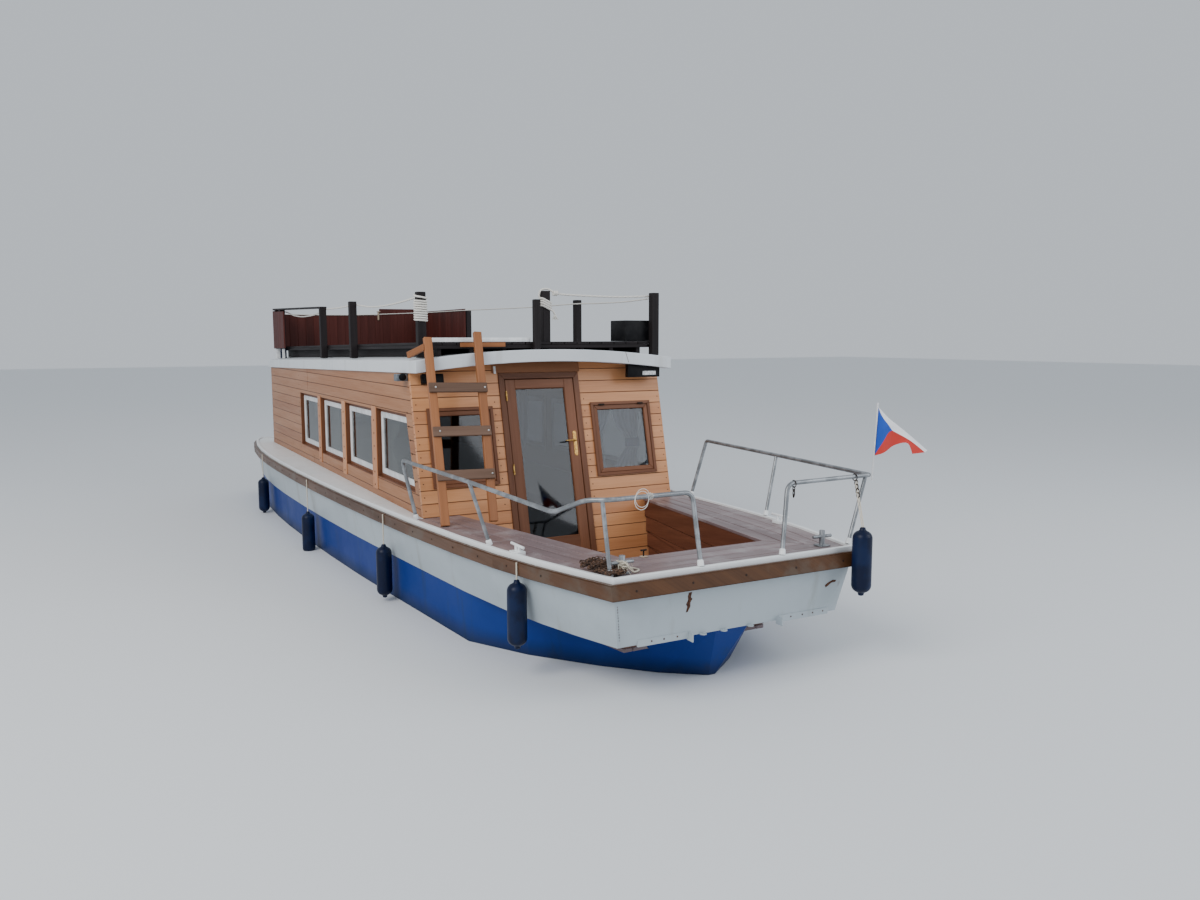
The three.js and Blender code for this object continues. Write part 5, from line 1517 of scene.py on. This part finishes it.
def rail_foot(side, x, inset=0.076):
    lift = TRIM_H if inset == ON_TRIM else 0.0
    return Vector((x, side * (beam(x) - inset), deck_z(x) + lift + 0.001))


def trim_foot(x, y):
    return Vector((x, y, deck_z(x) + TRIM_H + 0.001))


starboard_route = [rail_foot(-1, 2.578), (2.53, -1.52, 1.42), (4.025, -1.448, 1.412),
                   (5.03, -1.212, 1.312), (5.33, -1.11, 1.436), (5.44, -1.01, 1.442),
                   (5.475, -0.35, 1.45), trim_foot(5.582, -0.344)]
starboard_posts = [(rail_foot(-1, 4.04), (4.026, -1.445, 1.405)),
                   (rail_foot(-1, 5.48), (5.412, -1.03, 1.438))]
port_route = [rail_foot(1, 2.79, ON_TRIM), (2.86, 1.59, 1.462), (4.11, 1.492, 1.452),
              (5.5, 1.283, 1.46), (5.5, 0.475, 1.452), trim_foot(5.582, 0.37)]
port_posts = [(rail_foot(1, 4.17, ON_TRIM), (4.11, 1.49, 1.446)),
              (rail_foot(1, 5.53, ON_TRIM), (5.49, 1.25, 1.45))]
BENDS = {"starboard": BEND, "port": [0.03, 0.05, 0.02, BEND]}
SOCKET_H, SOCKET_R = 0.045, 0.024
sockets = []
for name, route, uprights in (("starboard", starboard_route, starboard_posts),
                              ("port", port_route, port_posts)):
    parts = [(round_off(route, BENDS[name], 8), TUBE, 20)]
    parts += [(p, TUBE - 0.002, 16) for p in uprights]
    swept_piece(f"rail_{name}_tube", parts, GALVANISED, replaces=[f"rail_{name}"],
                slot="galvanised_steel")
    for a, b in [(route[0], route[1]), (route[-1], route[-2])] + uprights:
        a, b = Vector(a), Vector(b)
        up = (b - a).normalized()
        sockets.append(([a, a + up * SOCKET_H * 0.8, a + up * SOCKET_H],
                        [SOCKET_R, SOCKET_R * 0.95, TUBE], 16))
swept_piece("rail_sockets", sockets, WHITE_PAINT, slot="white_paint")

# %% [markdown]
# Fenders are blown vinyl: a fat body with rounded shoulders and a stiff eye at each end. Turning a
# profile round an upright axis gives the body; the last points curve in to the eye.

# %% Fenders
FENDER_R, FENDER_H, FENDER_NECK = 0.074, 0.522, 0.024
LANYARD, DOUBLED_LANYARD = 0.012, 0.008


def lathe(name, profile, centre, material, **where):
    """A turned shape: profile is (radius, height) from the bottom up."""
    cx, cy, cz = centre
    verts, faces, sides = [], [], 36
    for r, h in profile:
        for j in range(sides):
            angle = 2 * math.pi * j / sides
            verts.append((cx + r * math.cos(angle), cy + r * math.sin(angle), cz + h))
    for i in range(len(profile) - 1):
        for j in range(sides):
            k = (j + 1) % sides
            faces.append((i * sides + j, i * sides + k, (i + 1) * sides + k, (i + 1) * sides + j))
    faces.append(tuple(range(sides))[::-1])
    faces.append(tuple((len(profile) - 1) * sides + j for j in range(sides)))
    return settle(name, new_mesh(name, verts, faces), material, angle=40, **where)


def fender_profile():
    shoulder = [(FENDER_R * math.sin(a) ** 0.75, 0.085 - 0.06 * math.cos(a))
                for a in np.linspace(0.35, math.pi / 2, 9)]
    lower = [(0.011, 0.0), (0.02, 0.004), (FENDER_NECK, 0.02)]
    lower += [(r, h) for r, h in shoulder if r > FENDER_NECK]
    return lower + [(r, FENDER_H - h) for r, h in reversed(lower)]


for node in ("bow", "waist", "quarter", "stern", "port"):
    low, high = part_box(f"fender_{node}")
    centre = ((low.x + high.x) / 2, (low.y + high.y) / 2, low.z)
    lathe(f"fender_{node}_body", fender_profile(), centre, NAVY, replaces=[f"fender_{node}"],
          slot="navy_vinyl")
    if node != "port":
        eye = Vector((centre[0], centre[1], low.z + FENDER_H - 0.01))
        line = [eye.lerp(Vector((eye.x, eye.y, high.z)), i / 8) for i in range(8, -1, -1)]
        rope(f"fender_{node}_lanyard", line, LANYARD, ROPE)
eye = Vector((5.728, 1.01, 1.108))
hang = Vector((5.512, 1.13, 1.436))
apart = SIDE * 0.008
doubled = [hang.lerp(eye, t) + apart for t in np.linspace(0, 0.97, 10)]
doubled += [eye + SIDE * 0.006, eye - SIDE * 0.006]
doubled += [hang.lerp(eye, t) - apart for t in np.linspace(0.97, 0, 10)]
rope("fender_port_lanyard", doubled, DOUBLED_LANYARD, ROPE)

# %% [markdown]
# The bow corner is where the boat shows its use: a heap of rusty chain, rope round a bitt, a
# snap hook on the rail. A chain is one link repeated, each turned a quarter round from the one
# before, so Geometry Nodes place the link along a line worked out here.

# %% Chain with Geometry Nodes
chain_tree, ci, co = geometry_tree("chain", [
    ("Link Radius", "Float", 0.011), ("Wire Radius", "Float", 0.003), ("Stretch", "Float", 1.5),
    ("Material", "Material", None)])
loop = make(chain_tree, "GeometryNodeCurvePrimitiveCircle", {
    "Resolution": 12, "Radius": ci.outputs["Link Radius"]})
wire = make(chain_tree, "GeometryNodeCurvePrimitiveCircle", {
    "Resolution": 6, "Radius": ci.outputs["Wire Radius"]})
stretch = make(chain_tree, "ShaderNodeCombineXYZ", {
    "X": ci.outputs["Stretch"], "Y": 1.0, "Z": 1.0})
long_loop = make(chain_tree, "GeometryNodeTransform", {
    "Geometry": loop.outputs["Curve"], "Scale": stretch.outputs[0]})
link = make(chain_tree, "GeometryNodeCurveToMesh", {
    "Curve": long_loop.outputs[0], "Profile Curve": wire.outputs["Curve"]})
turns = make(chain_tree, "GeometryNodeInputNamedAttribute", {"Name": "turn"},
             data_type="FLOAT_VECTOR")
as_rotation = make(chain_tree, "FunctionNodeEulerToRotation", {0: turns.outputs["Attribute"]})
links = make(chain_tree, "GeometryNodeInstanceOnPoints", {
    "Points": ci.outputs["Geometry"], "Instance": link.outputs[0],
    "Rotation": as_rotation.outputs[0]})
end_tree(chain_tree, links, ci, co)


def chain(name, line, radius, wire_radius, material):
    """Links along a line of points, each a quarter turn on from the last."""
    pitch = 2 * (radius * 1.5 - wire_radius)
    points, rotations, left = [], [], 0.0
    for a, b in zip(line, line[1:]):
        away, length = left, (b - a).length
        while away < length:
            along = (b - a).normalized()
            frame_x = along.to_track_quat("X", "Z").to_matrix()
            roll = Matrix.Rotation(math.pi / 2 * (len(points) % 2) + 0.5, 3, "X")
            points.append(a + along * away)
            rotations.append(tuple((frame_x @ roll).to_euler("XYZ")))
            away += pitch
        left = away - length
    run_tree(name, chain_tree, points, "turn", rotations,
             {"Link Radius": radius, "Wire Radius": wire_radius, "Material": material})
    print(name, len(points), "links")


HEAP_POINTS, LINK_R, WIRE_R = 150, 0.0125, 0.0035
heap = []
for i in range(HEAP_POINTS):
    t = i / (HEAP_POINTS - 1)
    angle = 1.9 * i
    wide = 0.5 + 0.5 * noise.noise(Vector((t * 9, 1.3, 0)))
    x = mix(5.2, 5.5, 0.5 + 0.5 * math.sin(3.3 * t * math.pi + 0.4)) + 0.03 * math.cos(angle)
    y = -1.0 + 0.07 * math.sin(angle * 0.53) + 0.05 * noise.noise(Vector((t * 14, 5.0, 0)))
    y = max(y, -(beam(min(x, 5.6)) - 0.045))
    z = deck_z(x) + 0.022 + 0.055 * abs(noise.noise(Vector((t * 11, 9.1, 0)))) + 0.03 * wide * t
    heap.append(Vector((x, y, z)))
chain("bow_chain", smooth(heap, 3), LINK_R, WIRE_R, RUSTY)

# %% Ropes, hooks and latch at the bow
BITT = Vector((5.425, -0.885, deck_z(5.47)))
bitt_rope = []
for i in range(90):
    angle = 2 * math.pi * i / 18
    r = 0.031 + 0.006 * math.sin(i * 0.9)
    rise = 0.026 + 0.0125 * i / 18
    bitt_rope.append(BITT + Vector((r * math.cos(angle), r * math.sin(angle), rise)))
drop = bitt_rope[-1]
bitt_rope += smooth([drop + Vector((0.015, 0.035, -0.03)), drop + Vector((0.03, 0.06, -0.07)),
                     Vector((5.47, -0.8, deck_z(5.47) + 0.009)),
                     Vector((5.42, -0.75, deck_z(5.42) + 0.008)),
                     Vector((5.34, -0.77, deck_z(5.34) + 0.008)),
                     Vector((5.32, -0.83, deck_z(5.32) + 0.008))])
frays = []
for i in range(14):
    a = BITT + Vector((0.034 * math.cos(i * 2.4), 0.034 * math.sin(i * 2.4), 0.03 + 0.004 * i))
    out = Vector((0.035 * math.cos(i * 2.4 + 0.5), 0.035 * math.sin(i * 2.4 + 0.5), -0.012))
    frays.append((smooth([a, a + out, a + out * 1.5 + Vector((0, 0, -0.02))]), 0.0022, 5))
fray = swept_piece("bitt_rope_frays", frays, ROPE)
rope("bitt_rope", bitt_rope, 0.012, ROPE)
RAIL_LINE, RAIL_TURN_R = Vector((5.457, -0.67, 1.446)), 0.0217
rings = []
for i in range(46):
    angle = math.radians(70 - 24 * i)
    rings.append(RAIL_LINE + Vector((RAIL_TURN_R * math.cos(angle), -0.0006 * i,
                                     RAIL_TURN_R * math.sin(angle))))
for i in range(40):
    angle = math.radians(10 + 18 * i)
    wide = 0.054 + 0.009 * math.sin(0.29 * i)
    rings.append(Vector((5.485 + 0.0005 * i, -0.757 + wide * math.cos(angle) - 0.0004 * i,
                         1.441 + 1.1 * wide * math.sin(angle) - 0.0006 * i)))
rope("rail_cord", rings, 0.0042, WHITE_ROPE)


def oval(centre, wide, tall, wire, turn=0.0):
    """A closed ring of wire, upright; turn is the way it faces, in degrees from +X."""
    c, s = math.cos(math.radians(turn)), math.sin(math.radians(turn))
    line = [Vector(centre) + Vector((-s * wide * math.cos(a), c * wide * math.cos(a),
                                     tall * math.sin(a)))
            for a in np.linspace(0, 2 * math.pi, 21)[:-1]]
    return line, wire, 8, True


swept_piece("rail_snap_hook", [
    oval((5.499, 0.535, 1.445), 0.025, 0.026, 0.0035, 90),
    oval((5.499, 0.535, 1.408), 0.01, 0.018, 0.003),
    oval((5.5, 0.535, 1.375), 0.016, 0.03, 0.004, 30),
    oval((5.5, 0.533, 1.355), 0.01, 0.012, 0.0035, 60)], SCREW_STEEL)
swept_piece("fender_shackles", [
    oval(hang + Vector((-0.012, 0, 0.016)), 0.026, 0.026, 0.004, 90)] + [
    oval(hang.lerp(eye, t), 0.014, 0.02, 0.004, 90 * k)
    for k, t in enumerate((0.06, 0.15, 0.24, 0.33))], SCREW_STEEL)
bench_top = deck_z(5.06)
latch_base = Boards(61)
latch_base.box((5.03, -0.515, bench_top + 0.001), (5.08, -0.465, bench_top + 0.007))
latch_base.finish("bench_latch_base", PALE_WOOD)
post = Vector((5.055, -0.49, bench_top + 0.006))
knob = post + Vector((0, 0, 0.045))
swept_piece("bench_latch", [([post, knob], 0.006, 10),
                            ([knob - Vector((0, 0.024, 0)), knob + Vector((0, 0.024, 0))],
                             0.007, 10)], SCREW_STEEL)

# %% [markdown]
# Wear on the bow plate is drawn where the real one has it: a rust streak below the rail, a smear
# to port, and a line of rust dots down the welded seam. Each is a thin flake with a ragged
# outline, set on the plate's own slope, so it stays in place from any side.

# %% Wear of the bow plate
PLATE_TOP, PLATE_SLOPE = DECK_Z + BOW_RISE - DECK_T, 0.1
# Across and up on the plate
STREAK_LINE = ((-0.435, 0.765), (-0.408, 0.768), (-0.413, 0.73), (-0.398, 0.715),
               (-0.411, 0.69), (-0.407, 0.66), (-0.423, 0.62), (-0.438, 0.617),
               (-0.433, 0.66), (-0.445, 0.68), (-0.433, 0.71), (-0.439, 0.74))
SMEAR_LINE = ((0.815, 0.655), (0.845, 0.675), (0.885, 0.69), (0.92, 0.685),
              (0.915, 0.67), (0.875, 0.668), (0.845, 0.645), (0.825, 0.635))


def on_plate(y, z):
    down = (PLATE_TOP - z) / (PLATE_TOP - HULL_LOW)
    return Vector((BOW_X - PLATE_SLOPE * down + 0.0004, y, z))


flakes = [STREAK_LINE, SMEAR_LINE]
for k in range(13):
    z = 0.735 - 0.021 * k
    y = -(hull_side(BOW_X, z) - 0.016)
    tall = 0.012 if k % 3 else 0.007
    flakes.append(((y, z), (y + 0.005, z), (y + 0.0045, z + tall), (y + 0.0005, z + tall)))
wear = Boards(62)
for flake in flakes:
    wear.prism([on_plate(y, z) for y, z in flake], (0.0012, 0, 0.0002), (0, 0, 1), 0.0)
wear.finish("bow_rust", STREAK)
bracket_face = on_plate(0, 0.45).x + 0.0105
holes = [(Vector((bracket_face, y, 0.446)), Vector((1, 0, 0)))
         for y in (-0.7, -0.6, -0.49, 0.52, 0.63, 0.73, 0.83)]
fasteners("bracket_holes", holes, 0.007, 0.001, STREAK)

# %% [markdown]
# The flag flies from a thin staff. Cloth in a light wind falls in a few soft folds that start at
# the hoist and spread to the fly; its three fields are found from the cloth's own map.

# %% Flag
STAFF_FOOT, STAFF_TOP = Vector((5.519, 1.29, 1.42)), Vector((5.545, 1.302, 2.02))
swept_piece("flag_staff_rod", [([STAFF_FOOT, STAFF_TOP], 0.007, 14)], WHITE_PLASTIC,
            replaces=["flag_staff"], slot="white_paint")
FLAG_MATERIAL, flag_tree, flag_shader = new_material("flag_cloth")
uv = add(flag_tree, "SeparateXYZ", {0: add(flag_tree, "TexCoord").outputs["UV"]})
above = calc(flag_tree, "GREATER_THAN", uv.outputs[1], 0.5)
from_middle = calc(flag_tree, "ABSOLUTE", calc(flag_tree, "SUBTRACT", uv.outputs[1], 0.5))
wedge = calc(flag_tree, "LESS_THAN", calc(flag_tree, "ADD", uv.outputs[0], from_middle), 0.5)
halves = blend_color(flag_tree, above, (0.55, 0.04, 0.03), (0.8, 0.8, 0.82))
flag_weave = add(flag_tree, "TexNoise", {"Scale": 400.0, "Detail": 1.0})
surface(flag_tree, flag_shader, {
    "Base Color": blend_color(flag_tree, wedge, halves, (0.01, 0.07, 0.42)), "Roughness": 0.85},
    (0.15, 0.0005, flag_weave.outputs[0]))
hoist_top, hoist_low = STAFF_FOOT.lerp(STAFF_TOP, 0.95), STAFF_FOOT.lerp(STAFF_TOP, 0.32)
clear = Vector((0.0, 0.008, 0))
LOWER_EDGE = ((5.595, 1.33, 1.64), (5.59, 1.44, 1.69), (5.665, 1.505, 1.71), (5.68, 1.546, 1.626))
MIDDLE = ((5.59, 1.335, 1.838), (5.595, 1.416, 1.804), (5.66, 1.533, 1.729), (5.68, 1.672, 1.632))
UPPER_EDGE = ((5.575, 1.389, 1.902), (5.61, 1.494, 1.818), (5.645, 1.601, 1.731),
              (5.68, 1.709, 1.642))
columns, rows = 40, 26
hoist_middle = hoist_low.lerp(hoist_top, 0.5)
lines = [smooth([start + clear, *edge], columns // 4) for start, edge in
         ((hoist_low, LOWER_EDGE), (hoist_middle, MIDDLE), (hoist_top, UPPER_EDGE))]
points, maps = [], []
for r in range(rows + 1):
    for c in range(columns + 1):
        u, v = c / columns, r / rows
        low, middle, high = (line[c] for line in lines)
        t = 2 * v
        p = low.lerp(middle, t) if t < 1 else middle.lerp(high, t - 1)
        p += Vector((0.6, -0.25, 0)) * 0.012 * u * math.sin(2 * math.pi * (0.9 * u + 0.8 * v))
        points.append(p)
        maps.append((u, v))
flag, flag_area = cloth_piece("flag_cloth", points, maps, columns, rows, FLAG_MATERIAL, 0.001,
                              replaces=["flag"])

# %% [markdown]
# Lamps and underwater gear keep the solid's shapes, with softened edges.

# %% Lamps, propeller and rudder
dress("light_bar", BLACK, 0.004, 35)
dress("lamp_front", BLACK, 0.006, 35)
dress("lamp_side", LAMP_GREY, 0.006, 35)
bar_glass = Boards(71)
bar_glass.box((2.4515, 1.067, 2.133), (2.4545, 1.225, 2.175), (0, 1, 0), 0.001)
bar_glass.finish("light_bar_glass", STEEL)
LENS = Vector((2.214, -1.4, 2.156))
swept_piece("side_lamp_lens", [([LENS, LENS + Vector((0.012, 0, 0)), LENS + Vector((0.018, 0, 0))],
                                [0.034, 0.034, 0.026], 24)], BLACK)
dress("propeller", BRASS, 0.002, 40)
dress("rudder", BLUE_PAINT, 0.003, 40)
